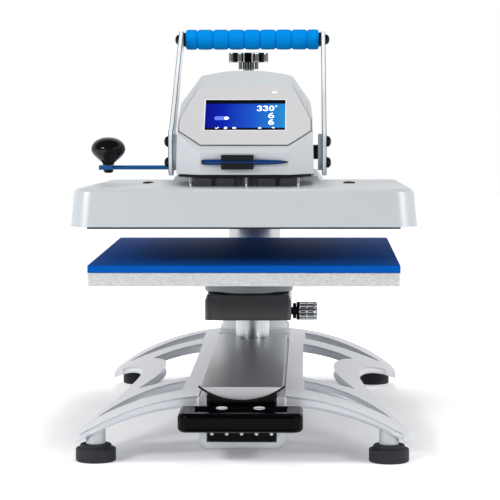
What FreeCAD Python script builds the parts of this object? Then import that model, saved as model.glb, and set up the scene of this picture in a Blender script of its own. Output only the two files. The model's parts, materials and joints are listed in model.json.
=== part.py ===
"""Swing-away heat press with a pull-out lower platen and a digital control head.

Millimetres, +Z up, +X to the operator's right, -Y towards the operator.
The origin is on the surface that the feet stand on, straight under the middle of the platens.
"""
import FreeCAD, Part
import Sketcher
import math
import os
import re

from FreeCAD import Placement, Rotation, Vector

doc = FreeCAD.newDocument("HeatPress")
sheet = doc.addObject("Spreadsheet::Sheet", "Sizes")

SIZES = (
    # Clearances
    ("seat_gap", 0.3), ("fit_gap", 0.05), ("slip_gap", 0.1), ("hole_gap", 1.0), ("over_cut", 20.0),
    # Base channel
    ("channel_front", 345.0), ("channel_rear", 414.0), ("channel_low", 17.0), ("channel_top", 84.0),
    ("channel_width", 107.4), ("channel_wall", 9.5), ("channel_corner", 10.0),
    ("web_thick", 10.0), ("web_half_height", 8.0),
    # Legs: height of the arched top and underside at the root, at mid span and at the tip
    ("leg_root_top", 85.5), ("leg_mid_top", 69.0), ("leg_tip_top", 27.0),
    ("leg_root_low", 71.5), ("leg_mid_low", 57.5), ("leg_tip_low", 18.0),
    ("leg_mid", 135.0), ("leg_reach", 219.0), ("leg_toe", 213.0), ("leg_flange", 23.0),
    ("leg_front_corner", 26.0), ("leg_rear_corner", 60.0),
    # Feet
    ("foot_across", 186.0), ("foot_front", 329.0), ("foot_rear", 391.5), ("foot_radius", 25.5),
    ("foot_rim", 17.0), ("foot_height", 22.0), ("foot_neck", 20.0), ("foot_chamfer", 1.2),
    ("post_foot_radius", 12.5), ("stud_radius", 5.0), ("stud_reach", 13.5),
    # Rails and slide
    ("rail_radius", 6.0), ("rail_across", 30.0), ("rail_height", 68.0), ("rail_front", 312.0),
    ("rail_rear", 205.0), ("bearing_width", 20.0), ("bearing_length", 36.0), ("bearing_low", 56.0),
    ("bearing_rear", 140.0), ("slide_top", 97.3), ("slide_width", 103.4), ("slide_edge", 2.0),
    ("slide_sag", 17.0), ("slide_front", 348.0), ("slide_rear", 226.0),
    # Drawer handle
    ("pull_width", 155.0), ("pull_front", 417.0), ("pull_low", 49.0), ("pull_top", 73.0),
    ("pull_bar", 24.0), ("pull_arm", 22.0), ("pull_corner", 13.0), ("pull_plate", 8.0),
    ("pull_plate_width", 84.0), ("pull_round", 6.0),
    # Pedestal, clamp and lower platen
    ("pedestal_radius", 25.0), ("pedestal_height", 51.7), ("pedestal_place", 194.0),
    ("clamp_width", 120.0), ("clamp_height", 36.0), ("clamp_corner", 9.0), ("clamp_slot", 3.0),
    ("clamp_arm_half", 38.0), ("disc_radius", 62.0),
    ("disc_height", 30.0), ("disc_groove", 2.0), ("disc_groove_height", 4.0), ("disc_rim", 12.0),
    ("platen_width", 406.4), ("platen_depth", 508.0), ("platen_corner", 3.0),
    ("lower_platen_thick", 17.5), ("pad_thick", 9.5),
    ("lock_height", 156.6), ("lock_stem_radius", 5.5), ("lock_stem_length", 7.2),
    ("lock_collar_radius", 11.0), ("lock_collar_length", 5.0), ("lock_socket", 14.0),
    ("lock_knob_radius", 12.9), ("lock_knob_length", 28.8), ("lock_flute", 2.2), ("lock_flutes", 12),
    # Column
    ("column_place", 330.0), ("column_base_radius", 50.0), ("column_base_top", 215.0),
    ("column_flange", 12.0), ("column_flange_length", 150.0), ("column_radius", 40.0),
    ("column_top", 345.0), ("pin_radius", 25.0), ("bush_wall", 5.0), ("bush_length", 30.0),
    ("sleeve_radius", 50.0), ("sleeve_top", 446.0), ("cap_height", 9.0),
    # Swing arm and head frame
    ("arm_neck", 35.0), ("arm_bend", 60.0), ("arm_bite", 10.0), ("arm_dip", 4.0), ("arm_round", 8.0),
    ("arm_width", 100.0), ("arm_low", 364.0), ("arm_top", 436.0), ("arm_start", 96.0),
    ("frame_across", 61.0), ("frame_wall", 6.0), ("frame_front", 86.0), ("frame_top", 440.0),
    ("frame_back_wall", 8.0), ("floor_low", 356.0), ("floor_thick", 6.0),
    ("block_depth", 36.0), ("block_height", 20.0),
    # Head housing
    ("shell_low", 358.0), ("shell_wall", 3.0), ("shell_half", 91.0), ("shell_shoulder_half", 86.6),
    ("shell_shoulder_rise", 20.0), ("shell_crown_half", 61.0), ("shell_crown_edge", 487.0),
    ("shell_crown", 494.5), ("shell_side_top", 430.0), ("shell_side_half", 89.5),
    ("chin_half", 58.4), ("chin_place", 218.0), ("chin_top", 386.6), ("facet_back", 185.4),
    ("shell_rear", 105.0), ("face_angle", 49.5), ("shell_round", 2.0),
    # Bezel, screen and indicator, measured up the sloping face from the bezel's lower edge
    ("bezel_place", 207.0), ("bezel_height", 396.0), ("bezel_low_half", 57.0),
    ("bezel_wide_half", 87.0), ("bezel_wide_low", 28.0), ("bezel_wide_high", 50.0),
    ("bezel_top_half", 62.4), ("bezel_length", 118.0), ("bezel_thick", 2.5),
    ("screen_width", 106.6), ("screen_low", 27.7), ("screen_length", 60.4), ("screen_lip", 3.5),
    ("screen_back", 3.0), ("board_gap", 8.0), ("board_margin", 2.0), ("spacer", 6.0), ("board_thick", 1.6),
    ("chip_height", 5.0),
    ("light_across", 38.3), ("light_place", 103.3), ("light_width", 6.0), ("light_length", 2.4),
    # Stylus and its holder
    ("holder_left", 30.0), ("holder_right", 12.5), ("holder_height", 19.0), ("holder_depth", 10.0),
    ("stylus_height", 374.8), ("stylus_radius", 3.85), ("stylus_length", 114.0),
    ("stylus_centre", 1.0), ("stylus_tip", 13.0), ("stylus_gap", 0.4), ("holder_slot", 5.6),
    # Handle
    ("pivot_place", 54.0), ("pivot_height", 382.5), ("shaft_radius", 10.0),
    ("crank_inner", 97.0), ("crank_thick", 5.5), ("crank_radius", 17.0), ("crank_half", 8.0),
    ("bar_thick", 6.35), ("bar_low_radius", 18.0), ("bar_top_radius", 13.0), ("bolt_half", 14.5),
    ("grip_back", 206.0), ("grip_height", 541.5), ("grip_radius", 15.0), ("grip_half", 99.0),
    ("grip_segments", 9), ("grip_groove", 1.4), ("grip_groove_width", 1.8), ("tube_radius", 10.0),
    ("bolt_radius", 4.0), ("bolt_head_radius", 7.5), ("bolt_head", 6.5),
    # Press cams and yoke
    ("handle_swing", 130.0), ("daylight", 47.5), ("cam_low", 15.0), ("cam_thick", 14.0),
    ("cam_across", 30.0), ("cam_room", 32.0), ("yoke_half", 40.0), ("yoke_overlap", 15.0),
    ("yoke_base_half", 100.0),
    ("yoke_base_depth", 84.0), ("yoke_base", 12.0), ("shaft_press_radius", 13.0),
    ("shaft_press_top", 400.0), ("guide_radius", 4.0), ("guide_across", 74.0),
    ("guide_place", 24.0), ("guide_top", 440.0), ("guide_collar_radius", 9.0),
    ("guide_collar", 4.0), ("bush_rim", 3.5), ("bush_rim_thick", 3.0), ("bush_sleeve", 3.0),
    ("spring_radius", 8.2), ("spring_wire", 2.0),
    # Heat platen and its cover
    ("heat_platen_thick", 19.0), ("element_thick", 2.0), ("insulation_thick", 10.0),
    ("sheet_margin", 12.0), ("cover_lift", 3.5), ("cover_side_margin", 21.2), ("cover_side_draft", 3.6),
    ("cover_front_margin", 18.0), ("cover_rear_margin", 8.0), ("cover_draft", 5.0), ("cover_corner", 26.0),
    ("cover_front_top", 343.0), ("cover_rear_top", 330.5), ("cover_round", 9.0),
    ("cover_wall", 2.5), ("hump_half", 112.0), ("hump_slope", 16.0), ("hump_depth", 118.0),
    ("hump_top", 352.0), ("cover_screw_across", 141.0), ("cover_screw_radius", 6.0),
    ("cover_screw_head", 1.6), ("boss_radius", 8.0), ("screw_radius", 2.5),
    # Pressure knob and screw
    ("screw_press_radius", 8.0), ("hub_low", 496.5), ("hub_radius", 14.5), ("star_low", 506.0),
    ("star_top", 519.5), ("star_radius", 27.5), ("star_notch", 5.0), ("star_notches", 8),
    # Swing handle
    ("rod_radius", 3.0), ("rod_place", 4.0), ("rod_height", 359.0), ("rod_end", 191.0),
    ("eye_length", 20.0), ("eye_width", 13.0), ("eye_half", 3.2), ("ball_centre", 198.0),
    ("ball_radius", 23.2), ("ball_top", 402.0), ("ball_neck", 8.0), ("ball_stud", 2.5),
    ("ball_stud_length", 14.0),
    # Power inlet, switch and breaker on the rear wall
    ("power_height", 463.0), ("inlet_across", 32.0), ("inlet_width", 27.0), ("inlet_height", 20.0),
    ("inlet_depth", 20.0), ("inlet_rim", 3.0), ("inlet_rim_thick", 2.0), ("inlet_socket", 12.0),
    ("switch_across", 12.0), ("switch_width", 11.0), ("switch_height", 18.0),
    ("switch_depth", 7.0), ("switch_tilt", 7.0), ("switch_gap", 1.5), ("breaker_across", 40.0),
    ("breaker_radius", 4.0), ("breaker_length", 14.0), ("breaker_proud", 5.0),
    ("relay_width", 58.0), ("relay_depth", 26.0), ("relay_height", 45.0), ("relay_low", 378.0),
)

for row, (alias, size) in enumerate(SIZES, start=1):
    sheet.set("A%d" % row, alias)
    sheet.set("B%d" % row, str(size))
    sheet.setAlias("B%d" % row, alias)
doc.recompute()


class Values:
    """The sheet's cells as numbers, for the outlines that a formula or a list of points draws."""

    def __getattr__(self, alias):
        return float(sheet.get(alias))


v = Values()
NODES = []


def e(text):
    """An expression on the sheet: every alias that the text names is looked up there."""
    return re.sub(r"\b[a-z]\w*", lambda word: "Sizes." + word.group(), text)


def number(text):
    """The value of an expression on the sheet."""
    return float(sheet.evalExpression(e(text)))


def place(item, at, turn=None):
    """Puts an object at three expressions, with an optional fixed rotation."""
    if turn is not None:
        item.Placement = Placement(Vector(), turn)
    for axis, text in zip("xyz", at):
        item.setExpression("Placement.Base." + axis, e(text))
    return item


def box(name, low, size):
    item = doc.addObject("Part::Box", name)
    for side, text in zip(("Length", "Width", "Height"), size):
        item.setExpression(side, e(text))
    return place(item, low)


TURNS = {
    "x": Rotation(Vector(0, 1, 0), 90),
    "-x": Rotation(Vector(0, 1, 0), -90),
    "y": Rotation(Vector(1, 0, 0), -90),
    "-y": Rotation(Vector(1, 0, 0), 90),
    "z": Rotation(),
}


def rod(name, radius, length, start, along="z"):
    item = doc.addObject("Part::Cylinder", name)
    item.setExpression("Radius", e(radius))
    item.setExpression("Height", e(length))
    return place(item, start, TURNS[along])


def cut(name, base, *tools):
    tool = tools[0]
    if len(tools) > 1:
        tool = fuse(name + "_tools", *tools)
    item = doc.addObject("Part::Cut", name)
    item.Base = base
    item.Tool = tool
    return item


def fuse(name, *items):
    item = doc.addObject("Part::MultiFuse", name)
    item.Shapes = list(items)
    return item


def common(name, *items):
    item = doc.addObject("Part::MultiCommon", name)
    item.Shapes = list(items)
    return item


def mirrored(name, source):
    """The same piece on the other side of the press."""
    item = doc.addObject("Part::Mirroring", name)
    item.Source = source
    item.Normal = Vector(1, 0, 0)
    return item


def rounded(name, item, radius, chosen):
    """Rounds the edges of an object that a test picks out."""
    doc.recompute()
    edges = []
    for index, edge in enumerate(item.Shape.Edges, start=1):
        if chosen(edge):
            edges.append((index, radius, radius))
    result = doc.addObject("Part::Fillet", name)
    result.Base = item
    result.Edges = edges
    return result


def outline(path):
    """Lines and arcs through a closed path: a point, or a list of a mid point and an end point."""
    start = path[0]
    here = start
    edges = []
    for step in list(path[1:]) + [start]:
        if isinstance(step, list):
            middle, end = step
            edges.append(Part.Arc(Vector(*here, 0), Vector(*middle, 0), Vector(*end, 0)))
            here = end
        elif math.dist(here, step) > 1e-6:
            edges.append(Part.LineSegment(Vector(*here, 0), Vector(*step, 0)))
            here = step
    return edges


def sketch(body, name, plane, *paths):
    item = body.newObject("Sketcher::SketchObject", name)
    origin = [part for part in body.Origin.OriginFeatures if part.Role == plane + "_Plane"][0]
    item.AttachmentSupport = [(origin, "")]
    item.MapMode = "FlatFace"
    for path in paths:
        item.addGeometry(outline(path), False)
    return item


def padded(name, plane, length, at, *paths, both=True):
    """A body whose sketch, drawn from closed paths, is padded to a length."""
    body = doc.addObject("PartDesign::Body", name)
    profile = sketch(body, name + "_outline", plane, *paths)
    pad = body.newObject("PartDesign::Pad", name + "_pad")
    pad.Profile = profile
    pad.setExpression("Length", e(length))
    pad.Midplane = both
    place(body, at)
    return body


def turned(name, at, path, turn=None):
    """A body turned about its own Z axis from a half section."""
    body = doc.addObject("PartDesign::Body", name)
    profile = sketch(body, name + "_section", "XZ", path)
    spin = body.newObject("PartDesign::Revolution", name + "_turning")
    spin.Profile = profile
    spin.ReferenceAxis = (profile, ["V_Axis"])
    spin.Angle = 360
    return place(body, at, turn)


def slab(name, width, depth, height, at, corner):
    """A rectangular plate standing on its placement, with its upright corners rounded."""
    body = doc.addObject("PartDesign::Body", name)
    profile = body.newObject("Sketcher::SketchObject", name + "_outline")
    origin = [part for part in body.Origin.OriginFeatures if part.Role == "XY_Plane"][0]
    profile.AttachmentSupport = [(origin, "")]
    profile.MapMode = "FlatFace"
    half_x = number(width) / 2
    half_y = number(depth) / 2
    corners = ((-half_x, -half_y), (half_x, -half_y), (half_x, half_y), (-half_x, half_y))
    profile.addGeometry(outline(corners), False)
    signs = (("-", "-"), ("", "-"), ("", ""), ("-", ""))
    for index, (sign_x, sign_y) in enumerate(signs):
        profile.addConstraint(Sketcher.Constraint("Coincident", index, 1, (index - 1) % 4, 2))
        across = profile.addConstraint(
            Sketcher.Constraint("DistanceX", -1, 1, index, 1, corners[index][0]))
        profile.setExpression("Constraints[%d]" % across, sign_x + "(" + e(width) + ") / 2")
        along = profile.addConstraint(
            Sketcher.Constraint("DistanceY", -1, 1, index, 1, corners[index][1]))
        profile.setExpression("Constraints[%d]" % along, sign_y + "(" + e(depth) + ") / 2")
    pad = body.newObject("PartDesign::Pad", name + "_pad")
    pad.Profile = profile
    pad.setExpression("Length", e(height))
    doc.recompute()
    upright = []
    for index, edge in enumerate(pad.Shape.Edges, start=1):
        ends = [vertex.Point for vertex in edge.Vertexes]
        if len(ends) == 2 and abs(ends[0].z - ends[1].z) > number(height) / 2:
            upright.append("Edge%d" % index)
    fillet = body.newObject("PartDesign::Fillet", name + "_corners")
    fillet.Base = (pad, upright)
    fillet.setExpression("Radius", e(corner))
    body.Tip = fillet
    return place(body, at)


def node(item, name):
    """Marks a finished sub-part: its label names its file."""
    item.Label = name
    NODES.append((name, item))
    return item


def stadium(y0, z0, r0, y1, z1, r1):
    """The outline round two circles: both rims and the two lines that touch them."""
    length = math.hypot(y1 - y0, z1 - z0)
    heading = math.atan2(z1 - z0, y1 - y0)
    spread = math.acos((r0 - r1) / length)

    def rim(y, z, r, angle):
        return (y + r * math.cos(angle), z + r * math.sin(angle))

    return [
        rim(y0, z0, r0, heading + spread),
        [rim(y0, z0, r0, heading + math.pi), rim(y0, z0, r0, heading - spread)],
        rim(y1, z1, r1, heading - spread),
        [rim(y1, z1, r1, heading), rim(y1, z1, r1, heading + spread)],
    ]


def inset(points, distance):
    """A convex outline, given anticlockwise, moved inwards by a wall."""
    moved = []
    count = len(points)
    for index in range(count):
        before, here, after = points[index - 1], points[index], points[(index + 1) % count]
        first = Vector(here[0] - before[0], here[1] - before[1], 0).normalize()
        second = Vector(after[0] - here[0], after[1] - here[1], 0).normalize()
        turn = first.getAngle(second) / 2
        inward = (Vector(-first.y, first.x, 0) + Vector(-second.y, second.x, 0)).normalize()
        reach = distance / math.cos(turn)
        moved.append((here[0] + inward.x * reach, here[1] + inward.y * reach))
    return moved


# Heights that stack up from the slide
CLAMP_LOW = "slide_top + pedestal_height"
DISC_LOW = CLAMP_LOW + " + clamp_height"
PLATEN_LOW = DISC_LOW + " + disc_height"
PAD_LOW = PLATEN_LOW + " + lower_platen_thick"
PAD_TOP = PAD_LOW + " + pad_thick"
HEAT_LOW = PAD_TOP + " + daylight"
HEAT_TOP = HEAT_LOW + " + heat_platen_thick"
ELEMENT_TOP = HEAT_TOP + " + element_thick"
YOKE_BASE_TOP = HEAT_TOP + " + yoke_base"
COVER_LOW = HEAT_LOW + " + cover_lift"
FOLLOWER_TOP = "pivot_height - cam_low - seat_gap"
FLOOR_TOP = "floor_low + floor_thick"
CHANNEL_INNER = "channel_width / 2 - channel_wall"

# The cam lifts evenly, so its rim is the involute of a circle of this radius
press_travel = v.daylight - v.seat_gap
cam_pitch = press_travel / math.radians(v.handle_swing)


def base_spine():
    """The cast channel that runs from front to back, with a web for each end of the rails."""
    half = v.channel_width / 2
    inner = half - v.channel_wall
    r = v.channel_corner
    k = r * (1 - math.sqrt(0.5))
    low, top, floor = v.channel_low, v.channel_top, v.channel_low + v.channel_wall
    section = [
        (-half, top), (-half, low + r), [(-half + k, low + k), (-half + r, low)],
        (half - r, low), [(half - k, low + k), (half, low + r)],
        (half, top), (inner, top), (inner, floor), (-inner, floor), (-inner, top),
    ]
    channel = padded("channel", "XZ", "channel_front + channel_rear",
                     ("0", "(channel_rear - channel_front) / 2", "0"), section)
    webs = [channel]
    for name, start in (("front", "-rail_front - web_thick"), ("rear", "rail_rear")):
        webs.append(box(name + "_web", ("-(%s)" % CHANNEL_INNER, start, "rail_height - web_half_height"),
                        ("2 * (%s)" % CHANNEL_INNER, "web_thick", "2 * web_half_height")))
    webs.append(box("end_wall", ("-(%s)" % CHANNEL_INNER, "channel_rear - channel_wall", "channel_low"),
                    ("2 * (%s)" % CHANNEL_INNER, "channel_wall", "channel_top - channel_low")))
    node(fuse("base_spine", *webs), "base_spine")


def leg_arch(name, thick):
    """The arched band that a leg is cut from, or everything above its underside."""
    root = v.channel_width / 2
    top = [
        (root, v.leg_root_top),
        [(v.leg_mid, v.leg_mid_top), (v.leg_reach, v.leg_tip_top)],
    ]
    if not thick:
        top = [(root, 2 * v.leg_root_top), (v.leg_reach, 2 * v.leg_root_top)]
    under = [
        (v.leg_reach, v.leg_tip_low),
        [(v.leg_mid, v.leg_mid_low), (root, v.leg_root_low)],
    ]
    return padded(name, "XZ", "channel_front + channel_rear",
                  ("0", "(channel_rear - channel_front) / 2", "0"), top + under)


# Outlines in the leg's plan, as shares of the way from its flange to its tip and from front to rear
LEG_WAIST = ((0.9508, 0.1014), [(0.6978, 0.2701), (0.5643, 0.4611)],
             [(0.6697, 0.6851), (1.0, 0.8656)])
LEG_OPENINGS = (
    ((0.0, 0.2609), [(0.2691, 0.2543), (0.487, 0.278)], [(0.3219, 0.415), (0.5151, 0.7167)],
     [(0.2832, 0.7352), (0.0, 0.747)]),
    ((0.0162, 0.0975), [(0.3956, 0.1001), (0.7962, 0.112)], [(0.3956, 0.1937), (0.0162, 0.2095)]),
    ((0.0162, 0.8419), [(0.3605, 0.8314), (0.7751, 0.8762)], [(0.8243, 0.8906), (0.7751, 0.9025)],
     [(0.4097, 0.9262), (0.0162, 0.9433)]),
)


def leg_spot(step):
    """A point, or an arc's two points, of the leg's plan from their shares."""
    if isinstance(step, list):
        return [leg_spot(point) for point in step]
    flange = v.channel_width / 2 + v.leg_flange
    return (flange + step[0] * (v.leg_reach - flange),
            step[1] * (v.channel_front + v.channel_rear) - v.channel_front)


def leg_plan():
    """The plan of the right leg casting: two splayed arms joined by a lobe, with its openings."""
    root, reach, toe = v.channel_width / 2, v.leg_reach, v.leg_toe
    front, rear = -v.channel_front, v.channel_rear
    cf, cr = v.leg_front_corner, v.leg_rear_corner
    kf, kr = cf * (1 - math.sqrt(0.5)), cr * (1 - math.sqrt(0.5))
    edge = [(root, front), (toe - cf, front), [(toe - kf, front + kf), (toe, front + cf)]]
    edge += [leg_spot(step) for step in LEG_WAIST]
    edge += [(reach, rear - cr), [(reach - kr, rear - kr), (reach - cr, rear)], (root, rear)]
    openings = [[leg_spot(step) for step in path] for path in LEG_OPENINGS]
    return padded("leg_plan", "XY", "2 * leg_root_top", ("0", "0", "0"), edge, *openings, both=False)


def legs():
    right = common("leg_blank", leg_arch("leg_band", True), leg_plan())
    node(right, "base_leg_right")
    node(mirrored("leg_left", right), "base_leg_left")


CORNERS = (
    ("front_left", "-", "-foot_front"), ("front_right", "", "-foot_front"),
    ("rear_left", "-", "foot_rear"), ("rear_right", "", "foot_rear"),
)


def feet():
    """A rubber foot under each leg tip, turning on the stud of a fixed post."""
    above = leg_arch("above_leg", False)
    keep_off = fuse("above_legs", above, mirrored("above_leg_left", above))
    posts = []
    rim, neck, edge = v.foot_radius, v.foot_neck, v.foot_chamfer
    bore = v.stud_radius + v.fit_gap
    section = [
        (0, 0), (rim - edge, 0), (rim, edge), (rim, v.foot_rim - edge), (rim - edge, v.foot_rim),
        (neck, v.foot_rim), (neck, v.foot_height - edge), (neck - edge, v.foot_height),
        (bore, v.foot_height), (bore, v.foot_height - v.stud_reach - v.seat_gap),
        (0, v.foot_height - v.stud_reach - v.seat_gap),
    ]
    for name, side, along in CORNERS:
        at = (side + "foot_across", along, "0")
        foot = turned("foot_" + name, at, section)
        node(foot, "foot_" + name)
        posts.append(rod("post_" + name, "post_foot_radius", "leg_root_low - foot_height",
                         (at[0], at[1], "foot_height + seat_gap")))
        posts.append(rod("stud_" + name, "stud_radius", "stud_reach + seat_gap",
                         (at[0], at[1], "foot_height - stud_reach")))
    node(cut("foot_posts", fuse("posts_blank", *posts), keep_off), "foot_posts")


def slide():
    """The half-round slide bar, its rails and the four bearing blocks that run on them."""
    rails = []
    blocks = []
    length = "rail_front + rail_rear"
    half = v.slide_width / 2
    top = v.slide_top
    edge = top - v.slide_edge
    section = [(-half, edge), [(0, top - v.slide_sag), (half, edge)], (half, top), (-half, top)]
    bar = padded("slide_bar", "XZ", "slide_front + slide_rear",
                 ("0", "(slide_rear - slide_front) / 2", "0"), section)
    node(bar, "slide_plate")
    for side in ("-", ""):
        start = (side + "rail_across", "-rail_front", "rail_height")
        rails.append(rod("rail", "rail_radius", length, start, "y"))
        for middle in ("0", "bearing_rear"):
            corner = (side + "rail_across - bearing_width / 2", middle + " - bearing_length / 2",
                      "bearing_low")
            blank = box("bearing_blank", corner,
                        ("bearing_width", "bearing_length", "slide_top - bearing_low"))
            bore = rod("bearing_bore", "rail_radius + fit_gap", "2 * bearing_length",
                       (side + "rail_across", middle + " - bearing_length", "rail_height"), "y")
            blocks.append(cut("bearing", blank, bore, bar))
    node(fuse("slide_rails", *rails), "slide_rails")
    node(fuse("slide_bearings", *blocks), "slide_bearings")
    return bar


def drawer_pull(bar):
    """The black handle on the front of the slide, with its mounting plate."""
    half = v.pull_width / 2
    front, back = -v.pull_front, -v.slide_front
    r = v.pull_corner
    k = r * (1 - math.sqrt(0.5))
    inner = half - v.pull_arm
    loop = [
        (-half, back), (-half, front + r), [(-half + k, front + k), (-half + r, front)],
        (half - r, front), [(half - k, front + k), (half, front + r)], (half, back),
    ]
    hole = [
        (-inner, back - v.pull_plate), (-inner, front + v.pull_bar), (inner, front + v.pull_bar),
        (inner, back - v.pull_plate),
    ]
    ring = padded("pull_loop", "XY", "pull_top - pull_low", ("0", "0", "(pull_top + pull_low) / 2"),
                  loop, hole)
    ring_round = rounded("pull_rounded", ring, v.pull_round,
                         lambda edge: min(point.Point.y for point in edge.Vertexes) < front + v.pull_bar / 2
                         and abs(edge.Vertexes[0].Point.z - edge.Vertexes[-1].Point.z) < 1)
    plate = box("pull_plate", ("-pull_plate_width / 2", "-slide_front - pull_plate", "pull_low"),
                ("pull_plate_width", "2 * pull_plate", "slide_top - pull_low"))
    ahead = box("ahead_of_slide", ("-pull_plate_width", "-slide_front - 2 * pull_plate", "pull_top"),
                ("2 * pull_plate_width", "2 * pull_plate", "slide_top"))
    seat = cut("pull_seat", plate, bar, ahead)
    node(fuse("drawer_handle", ring_round, seat), "drawer_handle")


def pedestal():
    """The post on the slide, the clamp block that reaches forward from it and the lower platen."""
    node(rod("pedestal", "pedestal_radius", "pedestal_height", ("0", "pedestal_place", "slide_top")),
         "pedestal_post")
    square = slab("clamp_blank", "clamp_width", "clamp_width", "clamp_height", ("0", "0", CLAMP_LOW),
                  "clamp_corner")
    arm = box("clamp_arm", ("-clamp_arm_half", "clamp_width / 2 - clamp_corner", CLAMP_LOW),
              ("2 * clamp_arm_half", "pedestal_place - clamp_width / 2 + clamp_corner", "clamp_height"))
    boss = rod("clamp_boss", "clamp_arm_half", "clamp_height", ("0", "pedestal_place", CLAMP_LOW))
    block = fuse("clamp_casting", square, arm, boss)
    slot = box("clamp_split", ("0", "-clamp_slot / 2 - lock_collar_radius * 2", CLAMP_LOW),
               ("clamp_width", "clamp_slot", "clamp_height"))
    socket = rod("lock_socket_hole", "lock_stem_radius + fit_gap", "lock_socket + clamp_corner",
                 ("clamp_width / 2 - lock_socket", "0", "lock_height"), "x")
    node(cut("clamp", block, slot, socket), "clamp_block")
    r, groove = v.disc_radius, v.disc_groove
    top = v.disc_height
    rim = top - v.disc_rim
    low = rim - v.disc_groove_height
    section = [
        (0, 0), (r - groove, 0), (r, groove), (r, low), (r - groove, low), (r - groove, rim),
        (r, rim), (r, top), (0, top),
    ]
    node(turned("disc", ("0", "0", DISC_LOW), section), "adapter_disc")
    node(slab("lower_plate", "platen_width", "platen_depth", "lower_platen_thick", ("0", "0", PLATEN_LOW),
              "platen_corner"), "lower_platen")
    node(slab("pad", "platen_width", "platen_depth", "pad_thick", ("0", "0", PAD_LOW), "platen_corner"),
         "silicone_pad")


def platen_lock():
    """The screw with a fluted knob that locks the lower platen in its clamp."""
    stem = rod("stem", "lock_stem_radius", "lock_socket - seat_gap + lock_stem_length",
               ("clamp_width / 2 - lock_socket + seat_gap", "0", "lock_height"), "x")
    inner = "clamp_width / 2 + lock_stem_length - lock_collar_length - seat_gap"
    collar = rod("collar", "lock_collar_radius", "lock_collar_length", (inner, "0", "lock_height"), "x")
    node(fuse("lock_stem", stem, collar), "lock_stem")
    start = "clamp_width / 2 + lock_stem_length"
    blank = rod("lock_knob_blank", "lock_knob_radius", "lock_knob_length", (start, "0", "lock_height"), "x")
    flutes = []
    for index in range(int(v.lock_flutes)):
        angle = math.radians(index * 360 / v.lock_flutes)
        flutes.append(rod("lock_flute_%d" % index, "lock_flute", "2 * lock_knob_length",
                          (start + " + lock_flute * 2", "lock_knob_radius * %.6f" % math.cos(angle),
                           "lock_height + lock_knob_radius * %.6f" % math.sin(angle)), "x"))
    node(cut("lock_knob", blank, *flutes), "lock_knob")


def column():
    """The fixed column: a flanged base, the post and the pin that the swing arm turns on."""
    corner = ("-channel_width / 2", "column_place - column_flange_length / 2", "channel_top")
    flange = box("column_flange", corner, ("channel_width", "column_flange_length", "column_flange"))
    tube = rod("column_tube", "column_base_radius", "column_base_top - channel_top",
               ("0", "column_place", "channel_top"))
    node(fuse("column_base", flange, tube), "column_base")
    post = rod("column_shank", "column_radius", "column_top - column_base_top",
               ("0", "column_place", "column_base_top"))
    pin = rod("column_pin", "pin_radius", "sleeve_top - seat_gap - column_top",
              ("0", "column_place", "column_top"))
    node(fuse("column_post", post, pin), "column_post")
    bushes = []
    for start in ("column_top + seat_gap", "sleeve_top - bush_length"):
        ring = rod("bush_ring", "pin_radius + bush_wall", "bush_length", ("0", "column_place", start))
        bore = rod("bush_bore", "pin_radius + fit_gap", "2 * bush_length",
                   ("0", "column_place", start + " - bush_length / 2"))
        bushes.append(cut("bush", ring, bore))
    node(fuse("column_bushes", *bushes), "column_bushes")
    r, high, edge = v.sleeve_radius, v.cap_height, v.cap_height / 2
    k = edge * (1 - math.sqrt(0.5))
    section = [(0, 0), (r, 0), (r, high - edge), [(r - k, high - k), (r - edge, high)], (0, high)]
    node(turned("cap", ("0", "column_place", "sleeve_top"), section), "column_cap")


def swing_arm():
    """The cast arm from the column's sleeve to the back of the head frame."""
    low, top = v.column_top + v.seat_gap, v.sleeve_top
    middle, radius, half = v.column_place, v.sleeve_radius, v.arm_width / 2
    blend = middle - radius + v.arm_bite
    neck, bend, dip = blend - v.arm_neck, blend - v.arm_neck - v.arm_bend, v.arm_dip
    rear = middle + 2 * radius
    side = [
        (v.arm_start, v.arm_low), (bend, v.arm_low), [(neck, v.arm_low - dip), (blend, low)], (rear, low),
        (rear, top), (blend, top), [(neck, v.arm_top + dip / 2), (bend, v.arm_top)],
        (v.arm_start, v.arm_top),
    ]
    turn = math.asin(half / radius)
    back = middle + radius * math.cos(turn)
    plan = [(-half, v.arm_start), (half, v.arm_start), (half, back), [(0, middle + radius), (-half, back)]]
    blank = common("arm_blank", padded("arm_side", "YZ", "2 * arm_width", ("0", "0", "0"), side),
                   padded("arm_plan", "XY", "2 * sleeve_top", ("0", "0", "0"), plan, both=False))
    arm = rounded("arm_rounded", blank, v.arm_round,
                  lambda edge: abs(abs(edge.Vertexes[0].Point.x) - half) < 0.1
                  and abs(edge.Vertexes[0].Point.x - edge.Vertexes[-1].Point.x) < 0.1
                  and edge.BoundBox.YMax < blend + 1 and edge.BoundBox.YLength > v.arm_neck)
    bore = rod("sleeve_bore", "pin_radius + bush_wall", "2 * sleeve_top", ("0", "column_place", "0"))
    node(cut("swing_arm", arm, bore), "swing_arm")


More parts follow.
